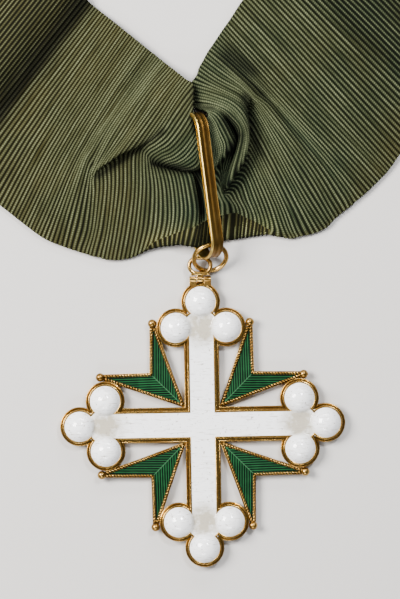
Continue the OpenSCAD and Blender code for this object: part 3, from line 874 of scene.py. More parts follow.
@dataclass
class Suspension:
    """The hinge, the oval eye, the ring and the ribbon's bail, in millimetres."""

    hinge_y: float = 27.95
    hinge_z: float = 1.95
    knuckle_r: float = 0.6
    hinge_w: float = 4.15
    middle_w: float = 1.24
    lug_foot_y: float = 26.6
    lug_gap: float = 0.1
    lug_base_z: float = 0.9
    lug_rise: float = 0.35
    lug_soft: float = 0.06
    leaf_t: float = 0.66
    leaf_top_w: float = 3.3
    eye_rise: float = 2.63
    eye_bend_r: float = 1.5
    eye_straight: float = 1.1
    eye_wire_r: float = 0.4
    ring_r: float = 3.15
    ring_wire_r: float = 0.46
    ring_off: Point3 = (1.985, 1.43, 0.894)
    ring_tilt: float = 40.7
    ring_face: float = -78.7
    bail_len: float = 28.4
    bail_depth: float = 7.2
    bail_w: float = 2.7
    bail_t: float = 0.45
    bail_front: float = 0.9
    bail_lean: float = 6.3
    bail_twist: float = 30.0
    bail_lift: float = 0.25
    bead_r: float = 0.24
    rim_w: float = 0.42
    reeds: int = 2
    reed_h: float = 0.018
    reed_margin: float = 0.24
    reedless_w: float = 0.86
    bend_steps: int = 28
    side_steps: int = 24
    foot: Point2 = (1.72, 4.88)

    @property
    def eye_y(self) -> float:
        """The middle of the oval eye, up the cross."""
        return self.hinge_y + self.eye_rise

    @property
    def reed_turn(self) -> float:
        """The reeds' wave, in radians per millimetre across the bail."""
        return FULL * self.reeds / (self.bail_w - self.reedless_w)

    @property
    def bail_half(self) -> float:
        """Half the length of the bail's straight sides."""
        return (self.bail_len - self.bail_depth) / 2

    def knuckle(self, start: float, end: float, soft: float) -> Piece:
        """One knuckle of the hinge, between two places along X."""
        ends = [(x, self.hinge_y, self.hinge_z) for x in (start, end)]
        return Bench.rod("knuckle", *ends, self.knuckle_r, soft)

    def lugs(self) -> Piece:
        """The two outer knuckles with the blocks that hold them."""
        parts = []
        for s in (-1, 1):
            inner, outer = s * (self.middle_w / 2 + self.lug_gap), s * self.hinge_w / 2
            parts.append(self.knuckle(inner, outer, 0.07))
            block = [(inner, self.lug_foot_y), (outer, self.lug_foot_y), (outer, self.hinge_y),
                     (inner, self.hinge_y)]
            parts.append(Bench.plate("lug", [block], self.lug_base_z,
                                     self.hinge_z + self.lug_rise, self.lug_soft))
        return Bench.smooth(Bench.join("hinge_lugs", parts), 40)

    def eye(self) -> Piece:
        """Middle knuckle, leaf and oval eyelet."""
        top = self.eye_y - self.eye_bend_r

        def flap(name: str, foot: float, foot_w: float, top_w: float, soft: float,
                 steps: int) -> Piece:
            """A flat part of the leaf, from the height foot to the eyelet."""
            edge = [(-foot_w / 2, foot), (foot_w / 2, foot), (top_w / 2, top), (-top_w / 2, top)]
            low, high = (self.hinge_z + s * self.leaf_t / 2 for s in (-1, 1))
            return Bench.plate(name, [edge], low, high, soft, steps)

        knuckle = self.knuckle(-self.middle_w / 2, self.middle_w / 2, 0.06)
        stem = flap("stem", self.hinge_y, self.middle_w, self.middle_w, 0.08, 2)
        leaf = flap("leaf", self.hinge_y + self.knuckle_r + self.lug_gap, self.hinge_w, self.leaf_top_w,
                    0.12, 3)
        oval: list[Point3] = []
        for k in range(72):
            a = FULL * k / 72
            shift = self.eye_straight / 2 * (1 if math.cos(a) >= 0 else -1)
            oval.append((shift + self.eye_bend_r * math.cos(a),
                         self.eye_y + self.eye_bend_r * math.sin(a), self.hinge_z))
        loop = Bench.wire("loop", [oval], self.eye_wire_r, 5)
        return Bench.join("oval_eye", [knuckle, stem, leaf, loop])

    def ring(self) -> Piece:
        """The round ring that links the eye and the bail."""
        Bench.put_down()
        bpy.ops.mesh.primitive_torus_add(
            major_segments=96, minor_segments=24, major_radius=self.ring_r * MM,
            minor_radius=self.ring_wire_r * MM)
        piece = Bench.made("round_ring")
        tilt = Matrix.Rotation(math.radians(self.ring_face), 4, "Z") @ Matrix.Rotation(
            math.radians(self.ring_tilt), 4, "Y")
        spot = Vector((0.0, self.eye_y, self.hinge_z)) + Vector(self.ring_off)
        piece.data.transform(Matrix.Translation(spot * MM) @ tilt)
        return Bench.smooth(piece, 60)

    def bail_place(self) -> Matrix:
        """The bail's own frame: its length along Y and its depth along Z."""
        half, lean, twist = self.bail_half, math.radians(self.bail_lean), math.radians(self.bail_twist)
        rise = (self.bail_depth * math.cos(twist) + self.bail_w * math.sin(twist)) / 2
        mid = Vector((self.foot[0] - half * math.sin(lean),
                      self.eye_y + self.foot[1] + half * math.cos(lean), rise + self.bail_lift))
        turned = Matrix.Rotation(lean, 4, "Z") @ Matrix.Rotation(twist, 4, "Y")
        return Matrix.Translation(mid * MM) @ turned

    def band(self) -> list[Point2]:
        """The bail's section, across and outwards: two soft reeds and a bead along the left edge."""
        w, t, bead = self.bail_w / 2, self.bail_t, self.bead_r
        section = [(-w + 0.12, 0.0), (w - 0.12, 0.0), (w - 0.03, 0.04), (w, 0.14), (w, t - 0.3),
                   (w - 0.03, t - 0.16), (w - 0.12, t - 0.08)]
        for k in range(19):
            x = w - self.reed_margin - (self.bail_w - self.reedless_w) * k / 18
            wave = self.reed_h * math.cos(FULL * self.reeds * k / 18)
            section.append((x, t - 0.10 + wave - 0.05 * (x / w) ** 2))
        for k in range(9):
            a = math.radians(20 + 200 * k / 8)
            section.append((-w + 0.22 + bead * math.cos(a), t - 0.16 + bead * math.sin(a)))
        return section + [(-w, 0.14), (-w + 0.03, 0.04)]

    def bail(self) -> Piece:
        """The long loop of reeded band, thick at the top and thin at its foot."""
        half, w, t, front = self.bail_half, self.bail_w / 2, self.bail_t, self.bail_front
        bend, straight, quarter = self.bend_steps, self.side_steps, math.pi / 2
        stations = [(half, quarter - math.pi * k / bend, front + (t - front) * k / bend)
                    for k in range(bend + 1)]
        stations += [(half - 2 * half * k / straight, -quarter, t) for k in range(1, straight)]
        stations += [(-half, -quarter - math.pi * k / bend, t) for k in range(bend + 1)]
        stations += [(-half + 2 * half * k / straight, quarter,
                      t + (front - t) * min(1.0, k / straight * 3)) for k in range(1, straight)]
        section = self.band()
        rows = []
        for y, way, thick in stations:
            reach = [self.bail_depth / 2 - thick * (1 - out / t) for _, out in section]
            rows.append([(x, y + r * math.cos(way), r * math.sin(way))
                         for (x, _), r in zip(section, reach)])
        piece = Bench.grid("reeded_bail", rows, ring=True)
        # Painted highlight along the bail's left rim, and faint painted highlight lines along the
        # reeds.
        Bench.store(piece, "shine", [
            0.8 if x < -w + self.rim_w else 0.01 + 0.01 * math.cos(self.reed_turn * (x - w))
            for _ in stations for x, _ in section])
        piece.data.transform(self.bail_place())
        return Bench.outward(piece)

    def build(self, gilt: Material, bright: Material) -> None:
        """Make the hinge, eye, ring and bail."""
        Bench.dress(self.lugs(), gilt, Body.CROSS, Slot.GOLD)
        Bench.dress(self.eye(), gilt, Body.SUSPENSION, Slot.GOLD, ["suspension_eye"])
        Bench.dress(self.ring(), gilt, Body.SUSPENSION, Slot.GOLD, ["jump_ring"])
        Bench.dress(self.bail(), bright, Body.SUSPENSION, Slot.GOLD, ["ribbon_bail"])


# ---------------------------------------------------------------------------------------------
# The ribbon

# The lines across the gathered ribbon, from the far left to the far right. Each line gives the
# rib count at its top and at its foot, the tint from olive to green, and then x, y and z of its
# places from the upper to the lower edge: x and y in steps of the picture, z in millimetres over
# the floor. A line of fewer than eleven places is spread over the eleven stations, and one of
# fewer than six isn't folded at all.
FOLDS: tuple[tuple[float, ...], ...] = (
    (-61, -61, 0.15, 25, -52, 1.6, -46, 31, 1.4, -115, 113, 0.7),
    (-53.5, -53.5, 0.1, 46, -35, 4, -22, 49, 3.8, -90, 134, 2.4),
    (-47, -47, 0.05, 66, -19, 4.6, -2, 66, 4.2, -70, 150, 2.6),
    (-41.6, -41.6, 0.1, 81, -6, 2.6, 14, 78, 2.2, -53, 163, 1.2),
    (-37.5, -37.5, 0.1, 93, 5, 0.8, 25, 90, 0.8, -40, 175, 0.6),
    (-27.5, -27.5, 0.1, 118, 25, 1.4, 94, 59, 1.6, 60, 108, 1.7, 30, 155, 1.4, 2, 207, 0.6),
    (-15.7, -15.6, 0.2, 146, 47.5, 1.4, 117, 88, 2, 90, 130, 2.2, 70, 165, 2, 40, 236, 0.6),
    (-10.2, -10.4, 0.3, 158.5, 57.5, 1.3, 132, 92, 1.7, 107, 127, 2.2, 86, 162, 2.2, 74, 200, 1.7,
     62, 246, 0.6),
    (-7, -6.6, 0.3, 165.5, 63.3, 1.5, 147, 86, 1.9, 129, 110, 2.3, 110, 139, 2.4, 93, 171, 1.7, 92,
     176, 1.5, 91, 181, 1.35, 91, 195, 1.2, 87, 228, 1, 81, 248, 0.7, 80, 252, 0.6),
    (-5, -4.8, 0.25, 170, 67, 1.8, 153, 87, 2.5, 137, 109, 2.9, 119, 137, 3, 100, 166, 2.2, 97, 170,
     1.4, 98, 176, 1.15, 98, 192, 1.1, 94, 228, 0.9, 88, 250, 0.7, 87, 254, 0.6),
    (-3.2, -3.3, 0.2, 174, 70, 2.2, 158, 90, 3, 142, 112, 3.4, 125, 138, 3.5, 106, 162.5, 3, 101.5,
     164, 1.6, 103.5, 172, 1, 104, 192, 1.1, 99, 228, 0.9, 93, 252, 0.7, 92, 256, 0.6),
    (-1.7, -1.8, 0.15, 177.5, 73, 2.6, 162, 92, 3.5, 147, 113, 3.9, 131, 135.5, 3.9, 112.5, 158.5,
     3.4, 107, 160.5, 1.7, 109.5, 168.5, 1, 110, 190, 1.1, 106, 228, 0.9, 100, 253, 0.7, 99, 257,
     0.6),
    (0, 0, 0.15, 181, 76, 3.1, 167, 94, 4, 153, 113, 4.4, 139, 132, 4.4, 123.5, 151.5, 3.7, 116,
     154.5, 1.8, 117, 164, 1, 117, 190, 1.2, 112, 228, 0.9, 107, 255, 0.7, 106, 259, 0.6),
    (2.5, 2.5, 0.2, 186.5, 80.5, 3.7, 175, 96, 4.5, 163.5, 113.5, 4.8, 152, 129.5, 4.7, 140, 144.5,
     4, 130, 149.5, 2.2, 127.5, 159, 1.05, 127, 190, 1.2, 122, 228, 0.9, 117, 255, 0.7, 116, 260,
     0.6),
    (5, 5, 0.3, 193, 85, 4.4, 182, 99, 4.8, 171, 115, 4.9, 162.5, 128, 4.8, 153, 138.4, 4.3, 143,
     145.5, 3, 137.8, 155, 1.4, 137, 190, 1.2, 133, 226, 0.9, 128, 254, 0.7, 127, 258, 0.6),
    (7, 7.2, 0.4, 194, 97, 5.3, 185, 109, 5.1, 175, 123, 5, 166, 135.5, 4.8, 156.5, 144, 4.4, 148,
     149.5, 3, 144.3, 158, 1.3, 145.2, 190, 1.25, 142, 226, 0.95, 137, 251.5, 0.8, 136, 255, 0.75),
    (9.2, 9.3, 0.5, 193.5, 109, 6, 187, 121, 5.5, 178, 134, 5.1, 168.5, 145, 4.8, 159, 151, 4.4,
     151.5, 156, 2.7, 150.5, 163, 1.1, 154, 190, 1.3, 152, 225, 1, 146, 248, 0.9, 144.5, 250, 1.1),
    (11, 11, 0.55, 194.5, 119, 5.2, 188.5, 131, 5.2, 180, 143, 5, 171, 151.5, 4.8, 161.5, 156, 4.4,
     155, 160.5, 2.4, 156.3, 167, 1, 160.5, 190, 1.4, 160, 222, 1.15, 154, 246.5, 1.1, 152, 243.5,
     1.5),
    (12.7, 12.6, 0.6, 197, 128.5, 5, 190, 140, 5, 182, 150, 5, 173, 157, 4.7, 164, 160.5, 4.3,
     159.5, 163.5, 2.1, 162.5, 169.5, 1, 167, 190, 1.5, 168, 220, 1.3, 162, 245, 1.3, 160.5, 239,
     1.75),
    (14.6, 14.5, 0.65, 199, 136.5, 4.9, 192.5, 147, 4.9, 185, 156.5, 4.9, 176.5, 162, 4.6, 168.5,
     164, 4.2, 165.5, 166, 1.9, 170, 171, 1.1, 174.3, 190, 1.8, 175.5, 217, 1.65, 170, 244.5, 1.6,
     170, 235.5, 2.1),
    (16.4, 16.2, 0.7, 201, 144.5, 4.8, 195.5, 154, 4.8, 188, 161, 4.8, 180, 165.5, 4.5, 173, 166.8,
     4.1, 171.5, 168, 1.9, 177, 172, 1.5, 181, 190, 2.3, 183, 215, 2.15, 177, 244, 2, 179, 232,
     2.6),
    (18.2, 18, 0.7, 199.5, 153, 4.7, 197, 161, 4.7, 191.5, 166.3, 4.7, 184.5, 168.3, 4.4, 178.5,
     168.5, 4, 178.5, 169.5, 2.1, 184, 172.7, 2.4, 188, 190, 3.05, 190.5, 215, 2.9, 185, 245, 2.7,
     188, 229, 3.3),
    (19.7, 19.5, 0.7, 201, 161, 4.6, 199, 166, 4.6, 194, 169.5, 4.5, 188.5, 170.3, 4.3, 184, 170.2,
     3.9, 184.5, 171, 2.5, 190, 174, 3, 194, 190, 3.25, 197, 215, 3.1, 192, 246, 2.95, 197, 226,
     3.5),
    (22.5, 21.9, 0.8, 203, 148, 4.2, 203, 158, 4, 199, 167, 3.2, 191, 169, 2.6, 189, 169.5, 2.4,
     191, 171, 2.3, 195, 177, 2.2, 199.5, 190, 2.1, 202, 213, 2.1, 201, 246, 2.6, 204, 221.5, 3.3),
    (26.5, 24.3, 0.8, 204, 126, 4, 210.5, 134, 4.4, 213, 146, 4.3, 212, 158, 4, 208, 168, 3.4, 204,
     175, 2.8, 205, 184, 2.2, 208, 195, 1.9, 211, 212, 1.8, 211, 243, 2.1, 213, 217.5, 2.8),
    (31.5, 26.7, 0.8, 208.5, 115.5, 4.3, 214, 123, 4.6, 219, 135, 4.6, 223.5, 147, 4.5, 220.5, 159,
     4, 213, 172, 2.8, 214, 186, 2, 218, 197, 1.8, 221, 208, 1.8, 220, 240.5, 1.5, 221, 215.5, 2.3),
    (34.5, 27.7, 0.75, 204, 110.5, 4.1, 215.5, 113.5, 4.5, 223, 122, 4.5, 230, 135.5, 4.3, 233,
     146.5, 3.9, 221, 167, 2.2, 219.5, 187, 1.6, 222, 198, 1.6, 226, 209, 1.6, 225, 239.5, 1.1, 227,
     214, 1.8),
    (37.5, 28.4, 0.85, 197, 109.5, 3.8, 216.5, 110, 4.2, 229, 121.5, 2.6, 236.5, 136.5, 1.3, 235,
     154, 1.5, 223, 177, 1.6, 222, 190, 1.5, 226, 199, 1.5, 230, 210, 1.5, 230, 238.5, 0.9, 232,
     213, 1.5),
    (40.8, 29, 0.75, 191, 105, 3.4, 215.5, 107, 4.5, 231, 117, 4.7, 241.5, 136, 4.6, 227, 185, 3.9,
     222, 187, 1.7, 225, 194, 1.3, 229, 200, 1.3, 234, 211, 1.3, 235, 238.5, 0.8, 237, 213, 1.4),
    (42.4, 31.4, 0.7, 190, 98, 3.3, 214, 103, 4.6, 233, 113.5, 4.9, 245, 136, 4.8, 236, 174, 4.2,
     229, 175, 1.5, 233.5, 187, 1.1, 238, 200, 1.2, 244, 214, 1.2, 243, 237, 0.75, 245, 217, 1.3),
    (43.9, 34.2, 0.7, 190, 93, 3.3, 213, 99, 4.6, 234, 109.5, 4.9, 247.5, 132, 4.8, 243, 162, 4.3,
     236, 163, 1.5, 242.5, 178, 0.95, 249, 200, 1.1, 256, 219, 1, 254, 235.5, 0.7, 256, 222, 1.2),
    (45.1, 37.5, 0.65, 190, 88, 3.3, 212, 95, 4.5, 234, 105, 4.8, 246, 121, 4.7, 247.5, 149, 4.2,
     241, 150, 1.5, 247.5, 164, 0.9, 262, 200, 1.2, 270, 225, 1, 267, 234, 0.8, 267, 228, 1),
    (46.5, 40.3, 0.6, 191.5, 83.5, 3.3, 213, 91, 4.1, 234, 100.5, 4.3, 244, 110, 4.2, 248.5, 131,
     3.7, 244, 136, 1.5, 250.5, 150, 0.9, 273, 200, 1.4, 283, 227, 1, 287, 236, 0.7, 288, 238, 0.6),
    (48.5, 43.6, 0.6, 197, 75, 3, 215, 86, 3.6, 234, 95.5, 3.8, 242, 101.5, 3.7, 247, 111, 3.3, 245,
     121, 1.8, 252, 134, 1, 285, 202, 1.6, 296, 228, 1, 299, 234, 0.7, 300, 236, 0.6),
    (50.2, 46.1, 0.6, 199, 68, 2.5, 217, 81, 3, 236, 91, 3.3, 243, 96, 3.3, 248.5, 103, 3.1, 245,
     108, 1.6, 254, 119, 1.2, 295, 198, 1.8, 309, 224, 1.1, 313, 231, 0.7, 314, 233, 0.6),
    (52.3, 49.3, 0.6, 203, 61, 2, 220, 74, 2.5, 238, 86, 2.9, 244, 91, 2.9, 250, 97, 2.8, 252, 103,
     2, 260, 113, 1.7, 303, 190, 2.2, 321, 218, 1.2, 326, 225, 0.7, 327, 227, 0.6),
    (54, 51.9, 0.6, 206, 55, 1.7, 223, 69, 2.2, 241, 83, 2.7, 246, 88, 2.8, 251, 94, 2.8, 257, 101,
     2.6, 265, 112, 2.4, 307, 174, 2.6, 328, 209, 1.4, 333, 217, 0.8, 334, 219, 0.6),
    (55.5, 54.3, 0.55, 209, 50, 1.5, 226, 65, 2.2, 245, 83, 2.8, 251, 89, 2.9, 257, 96, 2.9, 263,
     102, 2.9, 271, 112, 2.8, 313, 167, 2.8, 334, 199, 1.6, 341, 210, 0.8, 342, 212, 0.6),
    (57.4, 57.2, 0.7, 213, 44, 1.2, 232, 61, 1.1, 253, 81, 0.9, 261, 89, 0.9, 269, 98, 1, 275, 104,
     1.1, 283, 114, 1.3, 323, 162, 2, 345, 191, 1.3, 352, 202, 0.7, 353, 203, 0.6),
    (61.1, 61.1, 0.6, 221, 32, 1.2, 262, 76, 1.5, 300, 118, 1.9, 340, 161, 1.7, 367, 192, 0.6),
    (65.7, 65.7, 0.55, 231, 18, 1.6, 269, 59, 2.6, 308, 102, 2.8, 348, 143, 2.2, 381, 178, 0.6),
    (71, 71, 0.5, 243, 0, 2.2, 282, 42, 3.2, 320, 84, 3.4, 360, 127, 2.4, 394, 163, 0.6),
    (81, 81, 0.55, 267, -32, 3.2, 342, 45, 3.8, 420, 122, 1.2),
    (88, 88, 0.7, 287, -57, 0.7, 363, 17, 0.8, 441, 95, 0.6),
    (96, 96, 0.6, 310, -80, 2.4, 388, -8, 2.4, 463, 68, 0.8),
    (110, 110, 0.5, 354, -116, 0.6, 434, -44, 0.6, 514, 28, 0.6),
)

# Painted shade, where the ribbon is darker than its shape makes it, between folds, and painted light,
# where it is lighter, if the last number is below 0: both ends of a line in steps of the picture,
# how far it reaches, and its strength.
PAINTED_SHADE_AND_LIGHT: tuple[tuple[float, ...], ...] = (
    (86, -4, 34, 65, 13, 0.9), (34, 65, -6, 118, 12, 0.9), (192, 117, 197, 134, 3, 0.95),
    (228, 56, 250, 70, 11, 0.75), (98, 176, 128, 156, 3.5, 0.8), (128, 156, 163, 132, 3.5, 0.75),
    (153, 163, 200, 173, 4.5, 0.95), (197, 174, 202, 215, 5, 1.0), (196, 90, 196, 108, 4, 0.8),
    (197, 106, 212, 108, 3.5, 0.6), (227, 120, 238, 137, 6.5, 1.0), (238, 137, 231, 154, 6, 1.0),
    (245, 98, 252, 128, 6, 0.8), (251, 128, 258, 152, 6, 0.8), (228, 52, 262, 92, 9, 0.4),
    (362, -8, 405, 42, 20, 0.95), (249, 160, 226, 190, 4, 0.5), (8, 172, 60, 226, 8, 0.15),
    (208, 229, 268, 227, 8, -0.9), (150, 241, 196, 231, 6, -0.5))


@dataclass
class NeckRibbon:
    """The whole ribbon: the gathered middle, two strips, two corners and the plain back."""

    width: float = 41.5
    thick: float = 0.42
    cross_x: float = 202.7
    cross_y: float = 424.6
    step: float = 0.1923
    roll: float = 0.01745
    shares: tuple[float, ...] = (0, 0.12, 0.25, 0.37, 0.47, 0.53, 0.59, 0.7, 0.85, 0.96, 1.0)
    fine: int = 6
    seen: Point2 = (-43.0, 85.0)
    rib_h: float = 0.1
    hem_from: int = 9
    back_y: float = 132.397
    left_dir: float = 140.0
    right_dir: float = 48.0
    fold_r: float = 0.75
    end_space: float = 1.0
    clasp_x: float = -13.3
    clasp_len: float = 9.0
    rest_z: float = 0.5
    clasp_z: float = 1.4
    plain_tint: float = 0.3
    plain_darkening: float = 0.2

    def spot(self, px: float, py: float, z: float) -> Vector:
        """A picture place as millimetres in the cross's frame."""
        x, y = (px - self.cross_x) * self.step, (self.cross_y - py) * self.step
        return Vector((x + self.roll * y, y - self.roll * x, z))

    def depth(self, x: float, y: float) -> float:
        """How much painted shade a place in the cross's frame takes, or below 0 how much painted light.
        """
        px = self.cross_x + (x - self.roll * y) / self.step
        py = self.cross_y - (y + self.roll * x) / self.step
        strongest_painted_shade = painted_light = 0.0
        for ax, ay, bx, by, reach, share in PAINTED_SHADE_AND_LIGHT:
            wx, wy = bx - ax, by - ay
            along = min(1.0, max(0.0, ((px - ax) * wx + (py - ay) * wy) / (wx * wx + wy * wy)))
            away = math.hypot(px - ax - along * wx, py - ay - along * wy) / reach
            here = share * math.exp(-away * away * 0.9)
            strongest_painted_shade, painted_light = max(strongest_painted_shade, here), min(painted_light, here)
        return strongest_painted_shade + painted_light

    def plain(self, corners: Sequence[Point3]) -> list[Point3]:
        """Spread the eleven stations along a line that isn't folded."""
        lengths = [0.0]
        for a, b in zip(corners, corners[1:]):
            lengths.append(lengths[-1] + math.dist(a[:2], b[:2]))
        found = []
        for share in self.shares:
            at = share * lengths[-1]
            k = next(i for i in range(1, len(lengths)) if at <= lengths[i] + 1e-9)
            part = (at - lengths[k - 1]) / (lengths[k] - lengths[k - 1])
            found.append(tuple(a + (b - a) * part for a, b in zip(corners[k - 1], corners[k])))
        return found

    @staticmethod
    def glide(line: Sequence[Sequence[float]], i: int, k: float) -> list[float]:
        """A smooth path through the places of a line, the share k of the way from i to the next."""
        last = len(line) - 1
        near = (line[max(0, i - 1)], line[i], line[i + 1], line[min(last, i + 2)])
        return [0.5 * (2 * q + (r - p) * k + (2 * p - 5 * q + 4 * r - s) * k * k
                       + (3 * q - p - 3 * r + s) * k ** 3) for p, q, r, s in zip(*near)]

    def gather(self) -> list[Row]:
        """All rows of the gathered middle: x, y, z, rib count and tint at every point."""
        net = []
        for top, foot, tint, *flat in FOLDS:
            line = list(zip(*[iter(flat)] * 3))
            folded = len(line) > 5
            row = []
            for j, (px, py, z) in enumerate(self.plain(line) if len(line) < len(self.shares) else line):
                share = eased(min(1.0, max(0.0, (j - 3.5) / 3.0))) if folded else self.shares[j]
                row.append([*self.spot(px, py, z), top + (foot - top) * share,
                            tint * (0.3 if j >= self.hem_from else 1.0)])
            net.append(row)
        columns = list(zip(*net))
        rows = []
        for i, (row, after) in enumerate(zip(net, net[1:])):
            gap = max(abs(after[j][3] - row[j][3]) for j in (0, -1))
            dense = 4.0 if self.seen[0] <= row[0][3] < self.seen[1] else 1.0
            count = max(3, round(gap * dense))
            rows += [[self.glide(column, i, s / count) for column in columns] for s in range(count)]
        return [self.across(row) for row in (*rows, net[-1])]

    def across(self, row: Row) -> Row:
        """Fill the stretch between the eleven stations of one row."""
        full = [self.glide(row, j, s / self.fine)
                for j in range(len(row) - 1) for s in range(self.fine)]
        return full + [list(row[-1])]

    def strip(self, row: Row, degrees: float, way: float) -> list[Row]:
        """One plain strip: out to its corner, folded over flat, and back along the top to the clasp.

        Args:
            row: The row that the strip starts from.
            degrees: The strip's direction.
            way: -1 for the left strip and 1 for the right one, which also counts its ribs on.

        Returns:
            The strip's rows.
        """
        run = Vector((math.cos(math.radians(degrees)), math.sin(math.radians(degrees))))
        start = (Vector(row[0][:2]) + Vector(row[-1][:2])) / 2
        rib = (row[0][3] + row[-1][3]) / 2
        back, side = Vector((-way, 0.0)), Vector((-run.y, run.x)) * way
        corner = start + run * ((self.back_y - start.y) / run.y)
        mitre = (run + back).normalized()
        mitre = mitre if mitre.dot(side) > 0 else -mitre
        half = self.width / 2 / mitre.dot(side)
        over = (run - mitre * run.dot(mitre)).normalized()
        lead = self.width * 0.6
        upper = self.rest_z + 2 * self.fold_r
        count = 10 * self.fine
        rows: list[Row] = []
        travelled, previous = 0.0, start

        def add(mid: Vector, reach: Vector, z: float) -> None:
            """Add a straight line across the strip, whose upper half-width is reach."""
            nonlocal travelled, previous
            travelled += (mid - previous).length
            previous = mid
            ends = (mid + reach, mid - reach)
            rows.append([[*ends[0].lerp(ends[1], j / count), z, rib + way * travelled, self.plain_tint]
                         for j in range(count + 1)])

        stretch = (corner - run * lead - start).length
        for k in range(1, 9):
            add(start + run * (stretch * k / 8), side * (self.width / 2), self.rest_z)
        for angle in range(0, 181, 20):
            a = math.radians(angle)
            add(corner + over * (self.fold_r * math.sin(a)), mitre * half,
                self.rest_z + self.fold_r * (1 - math.cos(a)))
        total = (Vector((self.clasp_x, corner.y)) - back * (self.end_space / 2) - corner).length
        covered = self.width / 2 * (1 + side.y) / run.y
        sleeve = total - self.clasp_len / 2 - 1
        marks = [(0.0, upper), (lead, upper), (covered + 1.0, upper), (covered + lead / 2, self.rest_z),
                 (sleeve - lead / 4, self.rest_z), (sleeve, self.clasp_z), (total, self.clasp_z)]
        for (before, below), (mark, level) in zip(marks, marks[1:]):
            pieces = max(1, round((mark - before) / 5))
            for share in (s / pieces for s in range(1, pieces + 1)):
                add(corner + back * (before + (mark - before) * share), Vector((0.0, self.width / 2)),
                    below + (level - below) * eased(share))
        LOG.info("corner at x %.1f mm", corner.x)
        return rows

    def rows(self) -> list[Row]:
        """Every row of the loop, from the clasp round the left, through the bail and back."""
        middle = self.gather()
        left = self.strip(middle[0], self.left_dir, -1.0)
        return left[::-1] + middle + self.strip(middle[-1], self.right_dir, 1.0)

    def build(self, silk: Material) -> None:
        """Make the ribbon as one thin sheet."""
        rows = self.rows()
        points = [point for row in rows for point in row]
        seen = [self.seen[0] < point[3] < self.seen[1] for point in points]
        piece = Bench.grid("silk_ribbon", [[point[:3] for point in row] for row in rows])
        lifts = [vert.normal.copy() for vert in piece.data.vertices]
        for vert, point, lift, ribbed in zip(piece.data.vertices, points, lifts, seen):
            if ribbed:
                vert.co += lift * (self.rib_h * math.cos(FULL * point[3]) * MM)
        runs = []
        for row in rows:
            runs.append(0.0)
            for before, point in zip(row, row[1:]):
                runs.append(runs[-1] + math.dist(point[:3], before[:3]))
        Bench.store(piece, "rib", [point[3] for point in points])
        Bench.store(piece, "tint", [point[4] for point in points])
        Bench.store(piece, "run", runs)
        # Painted shade along the folds and painted light on the hems from the table, and an even
        # darkening on the plain parts.
        Bench.store(piece, "hollow", [self.depth(point[0], point[1]) if ribbed else self.plain_darkening
                                      for point, ribbed in zip(points, seen)])
        Bench.apply(piece, "SOLIDIFY", thickness=self.thick * MM, offset=0.0)
        Bench.smooth(piece, 80)
        Bench.dress(piece, silk, Body.SUSPENSION, Slot.SILK, ["neck_ribbon"])


@dataclass
class Clasp:
    """The plain closing sleeve, hidden at the back of the neck, in millimetres."""

    wall: float = 0.6
    soft: float = 0.35
    lip: float = 0.12
    inset: float = 0.02

    def build(self, gilt: Material) -> None:
        """Round off the sleeve: rings round its inside and outside, from one end to the other."""
        low, high = (Vector(c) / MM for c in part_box("ribbon_clasp"))
        mid, (_, tall, deep) = (low + high) / 2, high - low
        near, far = low.x + self.inset, high.x - self.inset
        rows = []
        for x, inset, r in ((near, self.wall, self.lip), (near, self.lip, self.soft),
                            (near + self.lip, 0.0, self.soft), (far - self.lip, 0.0, self.soft),
                            (far, self.lip, self.soft), (far, self.wall, self.lip)):
            rows.append([(x, mid.y + cy * (tall / 2 - inset - r) + r * math.cos(a),
                          mid.z + cz * (deep / 2 - inset - r) + r * math.sin(a))
                         for cy, cz, start in ((-1, -1, 180), (1, -1, 270), (1, 1, 0), (-1, 1, 90))
                         for a in (math.radians(start + 90 * s / 5) for s in range(6))])
        piece = Bench.outward(Bench.grid("closing_sleeve", rows, ring=True))
        Bench.dress(piece, gilt, Body.SUSPENSION, Slot.GOLD, ["ribbon_clasp"])


# ---------------------------------------------------------------------------------------------
# The studio


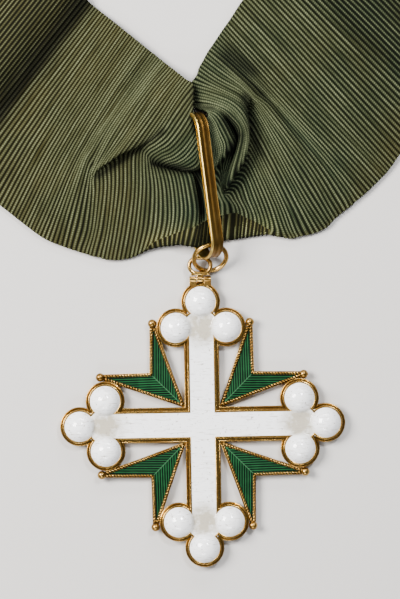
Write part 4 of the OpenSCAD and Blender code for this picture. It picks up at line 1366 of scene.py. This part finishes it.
@dataclass
class Studio:
    """Pale floor, soft lights and the camera over the badge, in millimetres."""

    look_at: Point2 = (-0.10, 24.07)
    lit: Point3 = (0.0, 30.0, 0.0)
    height: float = 620.0
    level: float = 2.0
    tall: float = 115.2
    sensor: float = 36.0
    roll: float = -1.0
    air: Point3 = (0.9, 0.93, 1.0)
    air_power: float = 0.16

    def lamp(self, name: str, at: Point3, size: Point2, power: float,
             colour: Point3 = (1.0, 1.0, 1.0)) -> None:
        """A soft rectangular light that points at the badge."""
        light = bpy.data.lights.new(name, "AREA")
        light.shape = "RECTANGLE"
        light.size, light.size_y = size[0] * MM, size[1] * MM
        light.energy = power
        light.color = colour
        lamp = Bench.link(name, light)
        lamp.location = Vector(at) * MM
        aim = Vector(self.lit) * MM - lamp.location
        lamp.rotation_euler = aim.to_track_quat("-Z", "Y").to_euler()

    def build(self) -> None:
        """Set up the floor, the lights, the world and the camera."""
        Bench.put_down()
        bpy.ops.mesh.primitive_plane_add(size=2.4, location=(0, 0, -0.0002))
        floor = Bench.made("pale_floor")
        floor.data.materials.append(PaleFloorFinish().material("pale_floor"))
        self.lamp("key", (-320, 150, 390), (230, 230), 9.0, (1.0, 0.97, 0.93))
        self.lamp("upper_right", (150, 230, 430), (90, 90), 2.4, (0.96, 0.98, 1.0))
        self.lamp("top_strip", (60, 420, 240), (300, 60), 1.2)
        self.lamp("low_fill", (-40, -300, 260), (200, 80), 0.8)
        world = bpy.data.worlds.new("studio_air")
        bpy.context.scene.world = world
        world.use_nodes = True
        sky = world.node_tree.nodes["Background"].inputs
        sky[0].default_value, sky[1].default_value = (*self.air, 1.0), self.air_power
        lens = bpy.data.cameras.new("view")
        lens.sensor_width = self.sensor
        lens.lens = self.sensor * self.height / self.tall
        lens.clip_start, lens.clip_end = 0.05, 5.0
        camera = Bench.link("view", lens)
        camera.location = Vector((*self.look_at, self.height + self.level)) * MM
        camera.rotation_euler = (0.0, 0.0, math.radians(self.roll))
        bpy.context.scene.camera = camera


def dress_pin(gilt: Material) -> None:
    """Give the hinge pin, which is right as it is, the gilt finish."""
    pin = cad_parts["hinge_pin"]
    pin = bpy.data.objects[pin] if isinstance(pin, str) else pin
    pin.data.materials.clear()
    pin.data.materials.append(gilt)


def main() -> None:
    """Build every part in order and report it."""
    logging.basicConfig(level=logging.INFO, format="%(name)s: %(message)s")
    Studio().build()
    gilt = GiltFinish().material("gilt")
    # The bail's copy of the gilt: its darker deep colour paints the band's dark reflections, and its
    # brighter bright colour the painted highlight along its rim.
    bail_gilt = GiltFinish(bright=(0.62, 0.43, 0.11), deep=(0.075, 0.027, 0.004), gloss=0.28, dull=0.4,
                           marks=0.0004, patchy=0.1).material("bail_gilt")
    TrefoilCross().build(gilt, WhiteEnamelFinish().material("white_enamel"))
    ForkedArm().build(gilt, GreenEnamelFinish().material("green_enamel"))
    Suspension().build(gilt, bail_gilt)
    dress_pin(gilt)
    NeckRibbon().build(SilkFinish().material("ribbed_silk"))
    Clasp().build(gilt)


if __name__ == "__main__":
    main()
